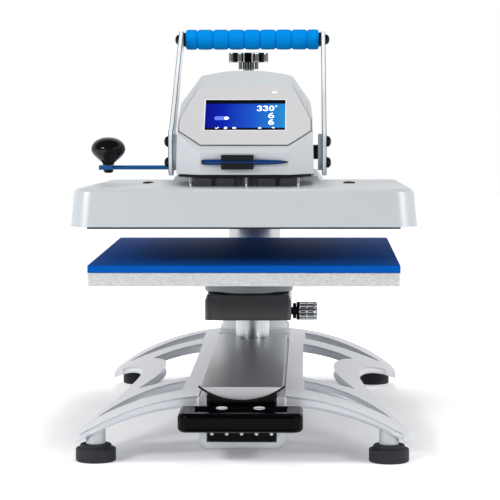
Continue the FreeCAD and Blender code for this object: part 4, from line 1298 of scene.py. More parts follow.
class PRESS_OT_base(PressOperator):
    """Dresses the base channel, both leg castings, the posts and the rails"""

    bl_idname = "press.base"
    bl_label = "Base castings"

    def execute(self, context):
        edge = sizes().casting_round
        softened("base_spine", casting_powder_coat, edge * 0.6, first=self.frame_lip)
        for side in ("left", "right"):
            leg = "base_leg_" + side
            softened(leg, casting_powder_coat, edge, angle=24, steps=3, first=self.web)
        softened("foot_posts", silver_powder_coat, 0.3 * MM)
        softened("slide_rails", ground_steel, 0.4 * MM)
        return {"FINISHED"}

    def web(self, bm):
        """Sinks the castings' upright walls a little between an upper and a lower lip."""
        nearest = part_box("base_spine")[1].x + 2 * MM
        farthest = nearest + 148 * MM
        walls = [
            face
            for face in bm.faces
            if abs(face.normal.z) < UPRIGHT
            and nearest < abs(face.calc_center_median().x) < farthest
        ]
        sunk(bm, walls, 2.3 * MM, 2.4 * MM)

    def frame_lip(self, bm):
        """Sinks the middle of the channel's front rim, which leaves a lip round it."""
        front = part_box("base_spine")[0].y
        rim = [
            face
            for face in bm.faces
            if face.normal.y < -0.9 and face.calc_center_median().y < front + 1 * MM
        ]
        sunk(bm, rim, 1.8 * MM, 0.9 * MM)


class PRESS_OT_feet(PressOperator):
    """Dresses the four rubber feet"""

    bl_idname = "press.feet"
    bl_label = "Rubber feet"

    def execute(self, context):
        for corner in ("front_left", "front_right", "rear_left", "rear_right"):
            softened("foot_" + corner, foot_rubber, 0.4 * MM)
        return {"FINISHED"}


class PRESS_OT_slide(PressOperator):
    """Dresses the slide plate and its bearing blocks"""

    bl_idname = "press.slide"
    bl_label = "Slide"

    def execute(self, context):
        softened("slide_plate", brushed_slide_steel, sizes().sheet_round)
        softened("slide_bearings", turned_aluminium, 0.4 * MM)
        return {"FINISHED"}


class PRESS_OT_drawer_handle(PressOperator):
    """Dresses the black drawer handle"""

    bl_idname = "press.drawer_handle"
    bl_label = "Drawer handle"

    def execute(self, context):
        softened("drawer_handle", black_enamel, 0.6 * MM, first=self.crease)
        self.painted_highlight_ovals()
        self.end_plate()
        self.gap_shade_strip()
        return {"FINISHED"}

    def gap_shade_strip(self):
        """Black strip below the slide's half-round front and beside its ends: painted shade of the gap
        between the slide and the channel.
        """
        low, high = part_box("slide_plate")
        half, rise = high.x, high.z - low.z
        radius = (half**2 + rise**2) / (2 * rise)
        reach = math.degrees(math.asin(half / radius))
        below, beside, above = 1.2 * MM, 2.6 * MM, 0.8 * MM
        arc = ellipse((0, low.z + radius), (radius + below,) * 2, 270 - reach, 270 + reach, 24)
        path = [(-half - beside, high.z + above), *arc, (half + beside, high.z + above)]
        front = along((0, low.y + 0.4 * MM, 0), (0, -1, 0))
        # A dark ribbon as painted shade where the gap under the slide shows
        bm = bmesh.new()
        stroke(bm, path, 2.4 * MM, 0, 1.0 * MM, front)
        piece("slide_front_painted_shade", bm, satin_black_and_painted_shade, "drawer_handle")

    def crease(self, bm):
        """Rounds the upper edge of the opening, and draws the bar's front in below a crease."""
        rim_height, rim_half, rim_front, rim_round = 73 * MM, 55.8 * MM, -355 * MM, 7 * MM
        rim = [
            edge
            for edge in bm.edges
            if all(
                abs(vert.co.z - rim_height) < 0.2 * MM
                and abs(vert.co.x) < rim_half
                and vert.co.y < rim_front
                for vert in edge.verts
            )
            and edge.is_manifold
            and edge.calc_face_angle() > 1
        ]
        rounded(bm, rim, rim_round, steps=5)
        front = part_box("drawer_handle")[0].y
        lower, crease, upper, band_top = 55.6 * MM, 56.0 * MM, 57.0 * MM, 66.0 * MM
        for height in (lower, upper, band_top):
            sliced(bm, (0, 0, height), (0, 0, 1))
        for vert in bm.verts:
            if vert.co.y < front + 0.3 * MM:
                if vert.co.z < crease:
                    vert.co.y += 1.4 * MM + (crease - vert.co.z) * 0.13
                elif vert.co.z < upper + 0.5 * MM:
                    vert.co.y += 0.3 * MM

    def painted_highlight_ovals(self):
        """Two pale ovals on the pull plate behind the bar: painted highlights, the lamps' glints on the
        black.
        """
        for name, across in (("left", -24.6), ("right", 22.4)):
            bm = bmesh.new()
            place = along((across * MM, -355.8 * MM, 71.5 * MM), (0, -1, 0))
            outline = in_mm(ellipse((0, 0), (7.2, 2.1), 0, 345, 23))
            plate(bm, outline, 0, 1.8 * MM, 1.4 * MM, place)
            # Pale ovals as painted highlights on the black pull plate
            piece("pull_painted_highlight_" + name, bm, bar_lacquer_and_painted_highlight, "drawer_handle")

    def end_plate(self):
        """Black end plate under the slide with its row of studs; its black is partly painted shade,
        standing for the dark mouth of the channel behind it.
        """
        corners = (
            ((39.6, 7.0), 3.4, 0, 4),
            ((-39.6, 7.0), 3.4, 90, 4),
            ((-38, -5.4), 5, 180, 5),
            ((38, -5.4), 5, 270, 5),
        )
        outline = []
        for centre, radius, first, steps in corners:
            outline += ellipse(centre, (radius, radius), first, first + 90, steps)
        bm = bmesh.new()
        place = along((0, -347 * MM, 38.6 * MM), (0, -1, 0))
        plate(bm, in_mm(outline), 0, 3.0 * MM, 0.5 * MM, place)
        piece("slide_end_plate", bm, black_enamel, "drawer_handle")
        bm = bmesh.new()
        spacing = 18.8 * MM
        for k in (-2, -1, 0, 1, 2):
            place = along((k * spacing, -350 * MM, 38.0 * MM), (0, -1, 0))
            dome(bm, place, 2.3 * MM, 1.8 * MM)
        piece("slide_end_studs", bm, bar_lacquer_and_painted_highlight, "drawer_handle")


class PRESS_OT_pedestal(PressOperator):
    """Dresses the pedestal, the clamp block and the adapter disc"""

    bl_idname = "press.pedestal"
    bl_label = "Pedestal and clamp"

    def execute(self, context):
        softened("pedestal_post", turned_aluminium, 0.4 * MM)
        softened("clamp_block", grey_enamel, 1.4 * MM, angle=12, steps=3, first=self.shoulder)
        softened("adapter_disc", phosphated_steel, 0.9 * MM, steps=3)
        return {"FINISHED"}

    def shoulder(self, bm):
        """Bows the block's front, and draws its top in as the casting's sloping shoulder."""
        low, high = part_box("clamp_block")
        for across in (-50, -38, 38, 50):
            sliced(bm, (across * MM, 0, 0), (1, 0, 0))
        bow, inset, run, drop = 6 * MM, 3.2 * MM, 12 * MM, 8.5 * MM
        for vert in bm.verts:
            if vert.co.y < low.y + 0.2 * MM:
                vert.co.y += bow * max(0.0, abs(vert.co.x) / high.x * 2 - 1) ** 2
        sliced(bm, (0, 0, high.z - drop), (0, 0, 1))
        for vert in bm.verts:
            if vert.co.z > high.z - 0.1 * MM and vert.co.y < -low.y:
                for axis, edge in ((0, high.x), (1, -low.y)):
                    past = abs(vert.co[axis]) - edge + run
                    if past > 0:
                        vert.co[axis] -= math.copysign(inset * past / run, vert.co[axis])


class PRESS_OT_lock(PressOperator):
    """Dresses the platen lock's stem and fluted knob"""

    bl_idname = "press.lock"
    bl_label = "Platen lock"

    def execute(self, context):
        softened("lock_stem", black_nickel, 0.2 * MM)
        low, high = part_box("lock_knob")
        centre, radius = (low + high) / 2, (high.z - low.z) / 2
        knob = softened("lock_knob", black_nickel, 0.5 * MM, angle=20, steps=3)
        # Chrome on the flutes' flanks: painted highlights, bright streaks among the black flutes
        painted_highlight_flanks(knob, chrome_and_painted_highlight, centre, axis=0, turned_away=0.9)
        bm = bmesh.new()
        inner, bevel = radius - 3 * MM, 0.8 * MM
        for start_at, deep in ((2.2 * MM, 3.4 * MM), (13.0 * MM, 2.6 * MM), (23.4 * MM, 3.4 * MM)):
            band = [(inner, 0), (radius - bevel, 0), (radius, bevel)]
            band += [(radius, deep - bevel), (radius - bevel, deep), (inner, deep)]
            turned(bm, band, along((low.x + start_at, centre.y, centre.z), (1, 0, 0)), steps=32)
        piece("lock_knob_bands", bm, chrome_and_painted_highlight, "lock_knob")
        return {"FINISHED"}


class PRESS_OT_lower_platen(PressOperator):
    """Dresses the lower platen and its silicone pad"""

    bl_idname = "press.lower_platen"
    bl_label = "Lower platen and pad"

    def execute(self, context):
        softened("lower_platen", milled_aluminium, 0.5 * MM)
        softened("silicone_pad", silicone_rubber, 0.6 * MM)
        return {"FINISHED"}


class PRESS_OT_column(PressOperator):
    """Dresses the column, its foot, its cap, the bushes and the swing arm"""

    bl_idname = "press.column"
    bl_label = "Column and swing arm"

    def execute(self, context):
        softened("column_base", silver_powder_coat, sizes().casting_round)
        self.flange_screws()
        softened("column_post", turned_aluminium, 0.5 * MM)
        softened("column_cap", polished_phenolic, 0.3 * MM)
        softened("column_bushes", sintered_bronze, 0.3 * MM)
        softened("swing_arm", silver_powder_coat, 0.8 * MM)
        return {"FINISHED"}

    def flange_screws(self):
        """Two socket screws that hold the flange behind the column."""
        bm = bmesh.new()
        for across in (-44 * MM, 44 * MM):
            spot = seat("column_base", (across, 393 * MM, 0.3), (0, 0, -1))
            dome(bm, Matrix.Translation(spot), 6.5 * MM, 5.0 * MM, 3.0 * MM)
        piece("column_flange_screws", bm, black_oxide_steel, "column_base")


class PRESS_OT_head(PressOperator):
    """Dresses the head's shell, frame and floor plate"""

    bl_idname = "press.head"
    bl_label = "Head shell"

    def execute(self, context):
        softened("housing_shell", silver_powder_coat, sizes().sheet_round, first=self.chin_corners)
        softened("head_frame", silver_powder_coat, sizes().sheet_round)
        softened("bottom_plate", satin_black_and_painted_shade, sizes().sheet_round, first=self.lower_lip)
        softened("bezel", bezel_abs, 0.5 * MM)
        self.seam()
        self.rear_screws()
        return {"FINISHED"}

    def rear_screws(self):
        """Domed screws that hold the shell's rear wall."""
        bm = bmesh.new()
        behind, sunk_by = 0.3, Vector((0, 1.4 * MM, 0))
        for x, z in in_mm(((-80, 368), (80, 368), (-80, 412), (80, 412), (0, 484))):
            spot = seat("housing_shell", (x, behind, z), (0, -1, 0))
            dome(bm, along(spot - sunk_by, (0, 1, 0)), 3.4 * MM, 1.3 * MM, 1.4 * MM)
        piece("shell_rear_screws", bm, black_oxide_steel, "housing_shell")

    def lower_lip(self, bm):
        """Draws the floor plate's underside down, so that it shows below the shell."""
        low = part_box("bottom_plate")[0].z
        for vert in bm.verts:
            if vert.co.z < low + 0.2 * MM:
                vert.co.z -= 1.8 * MM

    def chin_corners(self, bm):
        """Gives the shell's upright front corners the broad bend of folded sheet."""
        front, shell_middle = -0.1, -0.06
        bends = []
        for edge in bm.edges:
            a, b = (vert.co for vert in edge.verts)
            middle, run = (a + b) / 2, b - a
            if not edge.is_manifold or run.length < 5 * MM or abs(run.z) < 0.85 * run.length:
                continue
            normal = edge.link_faces[0].normal + edge.link_faces[1].normal
            outward = normal.x * middle.x + normal.y * (middle.y - shell_middle) > 0
            if outward and middle.y < front and edge.calc_face_angle() > math.radians(15):
                bends.append(edge)
        rounded(bm, bends, 4.5 * MM, steps=4)

    def seam(self):
        """The dark line round the bezel's foot: painted shade of the gap between the bezel and the
        shell.
        """
        right = in_mm(((57.6, -0.5), (87.5, 28), (87.5, 50.3), (62.8, 118.4)))
        path = right + [(-x, y) for x, y in reversed(right)]
        bm = bmesh.new()
        stroke(bm, path, 0.9 * MM, -0.2 * MM, 0.3 * MM, on_face(), closed=True)
        piece("bezel_foot_painted_shade", bm, satin_black_and_painted_shade, "bezel")


class PRESS_OT_screen(PressOperator):
    """Makes the lit screen and the indicator light"""

    bl_idname = "press.screen"
    bl_label = "Screen"

    def execute(self, context):
        softened("touch_screen", lit_screen, 0.2 * MM)
        softened("status_light", lamp_cap, 0.3 * MM)
        self.readings()
        self.toggle()
        self.icons()
        self.border()
        return {"FINISHED"}

    def glass(self, across=0.0, up=0.0):
        """A place on the screen's glass, from its distances across and up the face."""
        return on_face() @ Matrix.Translation(Vector((across, up, GLASS_OUT)))

    def readings(self):
        """Three plain readings at the right of the screen, the first with a degree ring."""
        size, weight = sizes().digit_height, sizes().digit_stroke
        right = 38.3 * MM
        bm = bmesh.new()
        for text, foot, wide in (
            ("330", 66.0 * MM, 0.66),
            ("6", 51.6 * MM, 0.74),
            ("6", 38.4 * MM, 0.74),
        ):
            figures(bm, text, right, foot, size * wide, size, weight, self.glass())
        degree = in_mm(ellipse((41.0, 75.0), (1.1, 1.1), 0, 330, 11))
        stroke(bm, degree, 0.6 * MM, 0, MARK_RELIEF, self.glass(), closed=True)
        piece("screen_readings", bm, screen_white, "touch_screen")

    def toggle(self):
        """A slide switch at the left: a dim track with a white thumb."""
        middle, radius = 51.3, 3.6
        pill = ellipse((-24.6, middle), (radius, radius), -90, 90, 12)
        pill += ellipse((-37.4, middle), (radius, radius), 90, 270, 12)
        bm = bmesh.new()
        plate(bm, in_mm(pill), 0, 0.04 * MM, 0.01 * MM, self.glass(), steps=1)
        piece("screen_toggle_track", bm, screen_dim, "touch_screen")
        bm = bmesh.new()
        thumb = in_mm(((0, 0), (2.9, 0), (2.9, 0.07), (0, 0.07)))
        turned(bm, thumb, self.glass(-24.9 * MM, middle * MM))
        piece("screen_toggle_thumb", bm, screen_white, "touch_screen")

    def icons(self):
        """Small generic signs in the screen's bottom bar: a tick, a house, bars and waves."""
        bm = bmesh.new()
        bar_middle = 32.0
        for x, path in (
            (-37.0, ((-2.2, 0.2), (-0.7, -1.4), (2.4, 1.8))),
            (-25.5, ((-2.2, -0.2), (0, 1.9), (2.2, -0.2))),
            (-25.5, ((-1.3, -0.4), (-1.3, -1.7), (1.3, -1.7), (1.3, -0.4))),
            (-14.0, ((-2.4, 0.8), (2.4, 0.8))),
            (-14.0, ((-2.4, -0.9), (2.4, -0.9))),
            (19.8, ((-2.0, 0.9), (2.0, 0.9))),
            (19.8, ((-2.0, -0.9), (2.0, -0.9))),
            (37.6, ellipse((0, -1.6), (2.6, 2.6), 45, 135, 6)),
            (37.6, ellipse((0, -1.6), (1.2, 1.2), 45, 135, 4)),
        ):
            drawn = in_mm([(x + a, bar_middle + b) for a, b in path])
            stroke(bm, drawn, 0.85 * MM, 0, 0.05 * MM, self.glass())
        piece("screen_icons", bm, screen_white, "touch_screen")

    def border(self):
        """A thin pale lip of the bezel that frames the glass."""
        low, high, half = 27.1 * MM, 88.7 * MM, 53.9 * MM
        path = [(-half, low), (half, low), (half, high), (-half, high)]
        back, front = BEZEL_OUT - 0.6 * MM, BEZEL_OUT + 0.05 * MM
        bm = bmesh.new()
        stroke(bm, path, 1.0 * MM, back, front, on_face(), closed=True)
        piece("screen_lip", bm, pale_lip, "bezel")


class PRESS_OT_stylus(PressOperator):
    """Dresses the stylus and its holder"""

    bl_idname = "press.stylus"
    bl_label = "Stylus and holder"

    def execute(self, context):
        softened("stylus_holder", black_abs, 0.5 * MM)
        self.pen()
        self.jaws()
        return {"FINISHED"}

    def pen(self):
        """The pen: a blunt cap at the left, a slim barrel and a fine writing tip at the right."""
        low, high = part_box("stylus")
        centre, long = (low + high) / 2, (high.x - low.x) / MM
        place = along((low.x, centre.y, centre.z), (1, 0, 0))
        barrel = [(0, 3.0), (3.45, 3.0), (3.7, 6.0), (3.8, 30.0), (3.8, 66.0), (3.4, 84.0)]
        barrel += [(2.6, long - 12.0), (1.9, long - 7.0), (0, long - 7.0)]
        cap = [(0, 0.0), (1.8, 0.1), (2.8, 0.9), (3.3, 2.2), (3.45, 3.1), (0, 3.1)]
        tip = [(0, long - 7.1), (1.9, long - 7.1), (1.1, long - 3.0), (0.6, long - 0.3), (0, long)]
        bm = bmesh.new()
        turned(bm, in_mm(barrel), place, steps=32)
        piece("stylus_barrel", bm, pen_abs, "stylus", ("stylus",), round_angle=40)
        bm = bmesh.new()
        for part in (cap, tip):
            turned(bm, in_mm(part), place, steps=32)
        piece("stylus_ends", bm, black_abs, "stylus", round_angle=50)

    def jaws(self):
        """The clip's two lips, which reach over the pen from above and below."""
        low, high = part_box("stylus_holder")
        middle = (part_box("stylus")[0].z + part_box("stylus")[1].z) / 2
        bm = bmesh.new()
        front = along((0, low.y + 0.6 * MM, 0), (0, -1, 0))
        for foot, top in ((low.z, middle - 1.2 * MM), (middle + 2.0 * MM, high.z)):
            outline = ((low.x, foot), (high.x, foot), (high.x, top), (low.x, top))
            plate(bm, outline, 0, 1.0 * MM, 0.4 * MM, front)
        piece("stylus_clip_lips", bm, black_abs, "stylus_holder")


class PRESS_OT_pressure_knob(PressOperator):
    """Makes the star knob and its screw"""

    bl_idname = "press.pressure_knob"
    bl_label = "Star knob"

    def execute(self, context):
        low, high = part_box("pressure_knob")
        centre = (low + high) / 2
        underside = high.z - 13.5 * MM
        lobes = sizes().star_lobes
        steps = 24 * lobes
        bm = bmesh.new()
        star = scalloped((high.x - low.x) / 2, 5.5 * MM, lobes, 6, steps)
        plate(bm, star, underside, high.z, 1.6 * MM, upright(centre), steps=4)
        knob = piece(
            "star_knob_lobes",
            bm,
            black_nickel,
            "pressure_knob",
            ("pressure_knob",),
            round_angle=50,
        )
        # Chrome on the lobes' flanks: painted highlights, bright streaks on the black star
        painted_highlight_flanks(knob, chrome_and_painted_highlight, centre, axis=2, turned_away=0.9)
        bm = bmesh.new()
        fluted = scalloped(14.5 * MM, 1.2 * MM, 12, 2, steps)
        plate(bm, fluted, low.z, underside + 1.5 * MM, 0.8 * MM, upright(centre))
        hub = piece("star_knob_hub", bm, black_nickel, "pressure_knob", round_angle=60)
        # Chrome on the hub's flutes: painted highlights, bright streaks on the black hub
        painted_highlight_flanks(hub, chrome_and_painted_highlight, centre, axis=2, turned_away=0.95)
        bm = bmesh.new()
        cap = in_mm(((0, 0), (7.5, 0), (7.5, 0.1), (6.4, 0.5), (0, 0.7)))
        turned(bm, cap, upright(centre, high.z - 0.35 * MM))
        piece("star_knob_cap", bm, black_abs, "pressure_knob")
        softened("pressure_screw", ground_steel, 0.3 * MM)
        return {"FINISHED"}


class PRESS_OT_handle(PressOperator):
    """Dresses the handle's bars, crank plates, bolts, shaft and tube"""

    bl_idname = "press.handle"
    bl_label = "Handle bars"

    def execute(self, context):
        for side in ("left", "right"):
            bar = softened("handle_bar_" + side, bar_lacquer_and_painted_highlight, sizes().sheet_round * 1.6)
            # The bars' rounded corners get a painted reflection: a dark slate blue line
            second_finish(bar, bar_edge_painted_reflection, lambda face: 0.12 < abs(face.normal.x) < 0.93)
        softened("crank_plates", zinc_flake, 0.4 * MM)
        self.bolts()
        self.collars()
        softened("cross_shaft", black_oxide_steel, 0.4 * MM)
        softened("grip_tube", ground_steel, 0.4 * MM)
        return {"FINISHED"}

    def bolts(self):
        """Domed bolts through the bars, with their shanks."""
        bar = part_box("handle_bar_right")[1].x
        bm = bmesh.new()
        for low, high in islands("handle_bolts"):
            centre, radius = (low + high) / 2, (high.z - low.z) / 2
            way = math.copysign(1, centre.x)
            inner, outer = sorted((abs(low.x), abs(high.x)))
            seated = along((way * bar, centre.y, centre.z), (way, 0, 0))
            dome(bm, seated, radius, outer - bar, radius * 0.36)
            thick = radius * 0.52
            shank = [(0, 0), (thick, 0), (thick, bar - inner), (0, bar - inner)]
            turned(bm, shank, along((way * inner, centre.y, centre.z), (way, 0, 0)), steps=24)
        piece("handle_bolt_domes", bm, black_oxide_steel, "handle_bolts", ("handle_bolts",))

    def collars(self):
        """Black end rings of the grip, between the foam and the bars."""
        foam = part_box("foam_grip")[1]
        low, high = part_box("grip_tube")
        centre, radius = (low + high) / 2, (high.z - low.z) / 2
        inner, outer, bevel = radius - 2 * MM, radius + 0.6 * MM, 0.3 * MM
        start_at, deep = foam.x + 0.1 * MM, high.x - foam.x - 0.3 * MM
        section = [(inner, 0), (outer - bevel, 0), (outer, 0.4 * MM), (outer, deep), (inner, deep)]
        bm = bmesh.new()
        for way in (-1, 1):
            turned(bm, section, along((way * start_at, centre.y, centre.z), (way, 0, 0)), steps=32)
        piece("grip_end_rings", bm, black_abs, "grip_tube")


class PRESS_OT_grip(PressOperator):
    """Makes the lobed foam grip"""

    bl_idname = "press.grip"
    bl_label = "Foam grip"

    def execute(self, context):
        low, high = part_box("foam_grip")
        centre, outer, long = (low + high) / 2, (high.z - low.z) / 2, high.x - low.x
        bore = 10.1 * MM
        lobes, groove = sizes().grip_lobes, sizes().grip_groove
        lobe = long / (lobes - 2 + 2 * END_LOBE)
        profile = [(bore, 0), (outer - groove, 0)]
        start_at = 0
        for k in range(lobes):
            wide = lobe * (END_LOBE if k in (0, lobes - 1) else 1)
            for share, drop in GRIP_LOBE:
                profile.append((outer - groove * drop, start_at + share * wide))
            start_at += wide
        profile += [(outer - groove, long), (bore, long)]
        bm = bmesh.new()
        turned(bm, profile, along((low.x, centre.y, centre.z), (1, 0, 0)), steps=64)
        grip = piece(
            "foam_grip_lobes", bm, grip_foam, "foam_grip", ("foam_grip",), round_angle=60
        )
        return {"FINISHED"}


class PRESS_OT_side_rod(PressOperator):
    """Makes the side rod with its ball"""

    bl_idname = "press.side_rod"
    bl_label = "Side rod and ball"

    def execute(self, context):
        softened("swing_rod", rod_enamel, 0.3 * MM)
        low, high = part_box("swing_knob")
        centre = (low + high) / 2
        foot = upright(centre, high.z - 39.4 * MM)
        bm = bmesh.new()
        turned(bm, self.ball(), foot, steps=64)
        piece(
            "swing_ball", bm, polished_phenolic, "swing_knob", ("swing_knob",), round_angle=40
        )
        bm = bmesh.new()
        turned(bm, self.stud(), foot, steps=32)
        piece("swing_ball_stud", bm, black_oxide_steel, "swing_knob", round_angle=30)
        return {"FINISHED"}

    def ball(self):
        """Half outline of the flattened ball on its neck, up from the foot of the neck."""
        wide, neck, collar, rise, crown = 24.2, 8.4, 2.4, 22.0, 17.0
        profile = [(0, 0), (neck - 0.8, 0), (neck, 0.8), (neck - 0.2, collar)]
        for k in range(1, 9):
            share = k / 9
            lean = neck + (wide - neck) * math.sin(share * math.pi / 2) ** 1.15
            profile.append((lean, collar + (rise - collar) * share))
        for k in range(12):
            turn = math.radians(90 * k / 12)
            profile.append((wide * math.cos(turn) ** 0.92, rise + crown * math.sin(turn)))
        profile.append((0, rise + crown))
        return in_mm(profile)

    def stud(self):
        """The nut under the eye and the stud that the ball turns on."""
        nut = [(0, -11.4), (3.4, -11.3), (5.6, -10.6), (6.7, -9.4), (7.0, -8.0), (7.0, -7.0)]
        return in_mm(nut + [(2.4, -6.9), (2.4, 0.2), (0, 0.2)])


class PRESS_OT_cover(PressOperator):
    """Dresses the platen cover with its screws"""

    bl_idname = "press.cover"
    bl_label = "Platen cover"

    def execute(self, context):
        softened("platen_cover", silver_powder_coat, 0.4 * MM)
        self.apron()
        self.plugs()
        return {"FINISHED"}

    def apron(self):
        """The sloping front of the cover's hump, which runs down to the flat top."""
        foot, flat, rise = 338, 341.4, 4.6
        sections = []
        for across, share in ((-134, 0.02), (-112, 1.0), (112, 1.0), (134, 0.02)):
            top = flat + rise * share
            slope = ((-114, top), (-150, top - 0.9 * share), (-214, 342.2), (-226, 341.2))
            line = ((-114, foot), *((y, min(z, top)) for y, z in slope), (-226, foot))
            sections.append([Vector((across, y, z)) * MM for y, z in line])
        bm = bmesh.new()
        skinned(bm, sections)
        piece("cover_apron", bm, silver_powder_coat, "platen_cover", round_angle=25)

    def plugs(self):
        """Black capped screws that hold the cover."""
        cap, thick = 1.2 * MM, 2.4 * MM
        bm = bmesh.new()
        for low, high in islands("cover_screws"):
            centre, seated = (low + high) / 2, high.z - cap
            dome(bm, upright(centre, seated), 8.6 * MM, 2.4 * MM, 3.2 * MM)
            shank = [(0, low.z), (thick, low.z), (thick, seated), (0, seated)]
            turned(bm, shank, upright(centre), steps=16)
        piece("cover_plugs", bm, black_abs, "cover_screws", ("cover_screws",))


class PRESS_OT_hot_plate(PressOperator):
    """Dresses the heat platen, its element and its insulation"""

    bl_idname = "press.hot_plate"
    bl_label = "Heat platen"

    def execute(self, context):
        softened("heat_platen", hot_plate_coating, 0.6 * MM)
        softened("heating_element", mica_sheet, 0.2 * MM)
        softened("insulation", mineral_wool, 0.8 * MM)
        return {"FINISHED"}


class PRESS_OT_works(PressOperator):
    """Dresses the cams, yoke, shaft, guides, springs and the screw's block"""

    bl_idname = "press.works"
    bl_label = "Press works"

    def execute(self, context):
        softened("press_cams", cut_steel_plate, 0.4 * MM)
        softened("press_yoke", cut_steel_plate, 0.6 * MM)
        softened("pressure_block", cut_steel_plate, 0.6 * MM)
        softened("press_shaft", ground_steel, 0.4 * MM)
        softened("guide_rods", ground_steel, 0.4 * MM)
        softened("guide_bushes", sintered_bronze, 0.3 * MM)
        self.springs()
        self.skirt()
        return {"FINISHED"}

    def springs(self):
        """Coil springs round the guide rods, which shorten as the press comes down."""
        turns, steps, wire = 12, 20, 1.0 * MM
        section = ellipse((0, 0), (wire, wire), 0, 315, 7)
        bm = bmesh.new()
        for low, high in islands("lift_springs"):
            centre, reach = (low + high) / 2, (high.x - low.x) / 2 - wire
            loops = []
            for k in range(turns * steps + 1):
                angle = 2 * math.pi * k / steps
                out = Vector((math.cos(angle), math.sin(angle), 0))
                rise = wire + (high.z - low.z - 2 * wire) * k / (turns * steps)
                here = Vector((centre.x, centre.y, low.z + rise)) + out * reach
                loops.append([here + out * a + Vector((0, 0, b)) for a, b in section])
            skinned(bm, loops)
        coils = piece(
            "lift_spring_coils",
            bm,
            spring_wire,
            "lift_springs",
            ("lift_springs",),
            round_angle=60,
        )
        low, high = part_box("lift_springs")
        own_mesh(coils)

    def skirt(self):
        """Moulded skirt between the cover and the head, with bright guide pins before it; the middle pin
        is a painted highlight, the glint down the dark press shaft.
        """
        back, front, recess, top = -112, -210, -205, 354.0
        outline = [(-68, front + 2), (-64, front)]
        for middle, half in ((-40, 2.0), (-8.5, 4.0), (12.5, 4.0), (44, 2.0)):
            outline += [(middle - half - 1, front), (middle - half, recess)]
            outline += [(middle + half, recess), (middle + half + 1, front)]
        outline += [(64, front), (68, front + 2), (68, back), (-68, back)]
        bm = bmesh.new()
        plate(bm, in_mm(outline), 341.0 * MM, top * MM, 0.4 * MM, Matrix())
        piece("works_skirt", bm, neoprene_skirt, "platen_cover")
        bm = bmesh.new()
        # The two outer pins are guide pins; the thin middle one is a painted highlight of the press
        # shaft
        for across, radius in ((-70.5, 1.6), (70.5, 1.6), (2.4, 2.0)):
            collar = radius + 0.8
            pin = [(0, 340.5), (collar, 340.5), (collar, 342.6), (radius, 343.0)]
            pin += [(radius, top), (0, top)]
            turned(bm, in_mm(pin), upright(Vector((across, front - 1)) * MM), steps=20)
        piece("works_guide_pins_and_painted_highlight", bm, chrome_and_painted_highlight, "platen_cover")


class PRESS_OT_electrics(PressOperator):
    """Dresses the board, relay, inlet, switch and breaker"""

    bl_idname = "press.electrics"
    bl_label = "Electrics"

    def execute(self, context):
        softened("control_board", circuit_board, 0.2 * MM)
        softened("power_relay", relay_case, 0.8 * MM)
        softened("power_inlet", black_abs, 0.5 * MM)
        softened("power_switch", black_abs, 0.6 * MM)
        softened("breaker_button", polished_phenolic, 0.4 * MM)
        return {"FINISHED"}


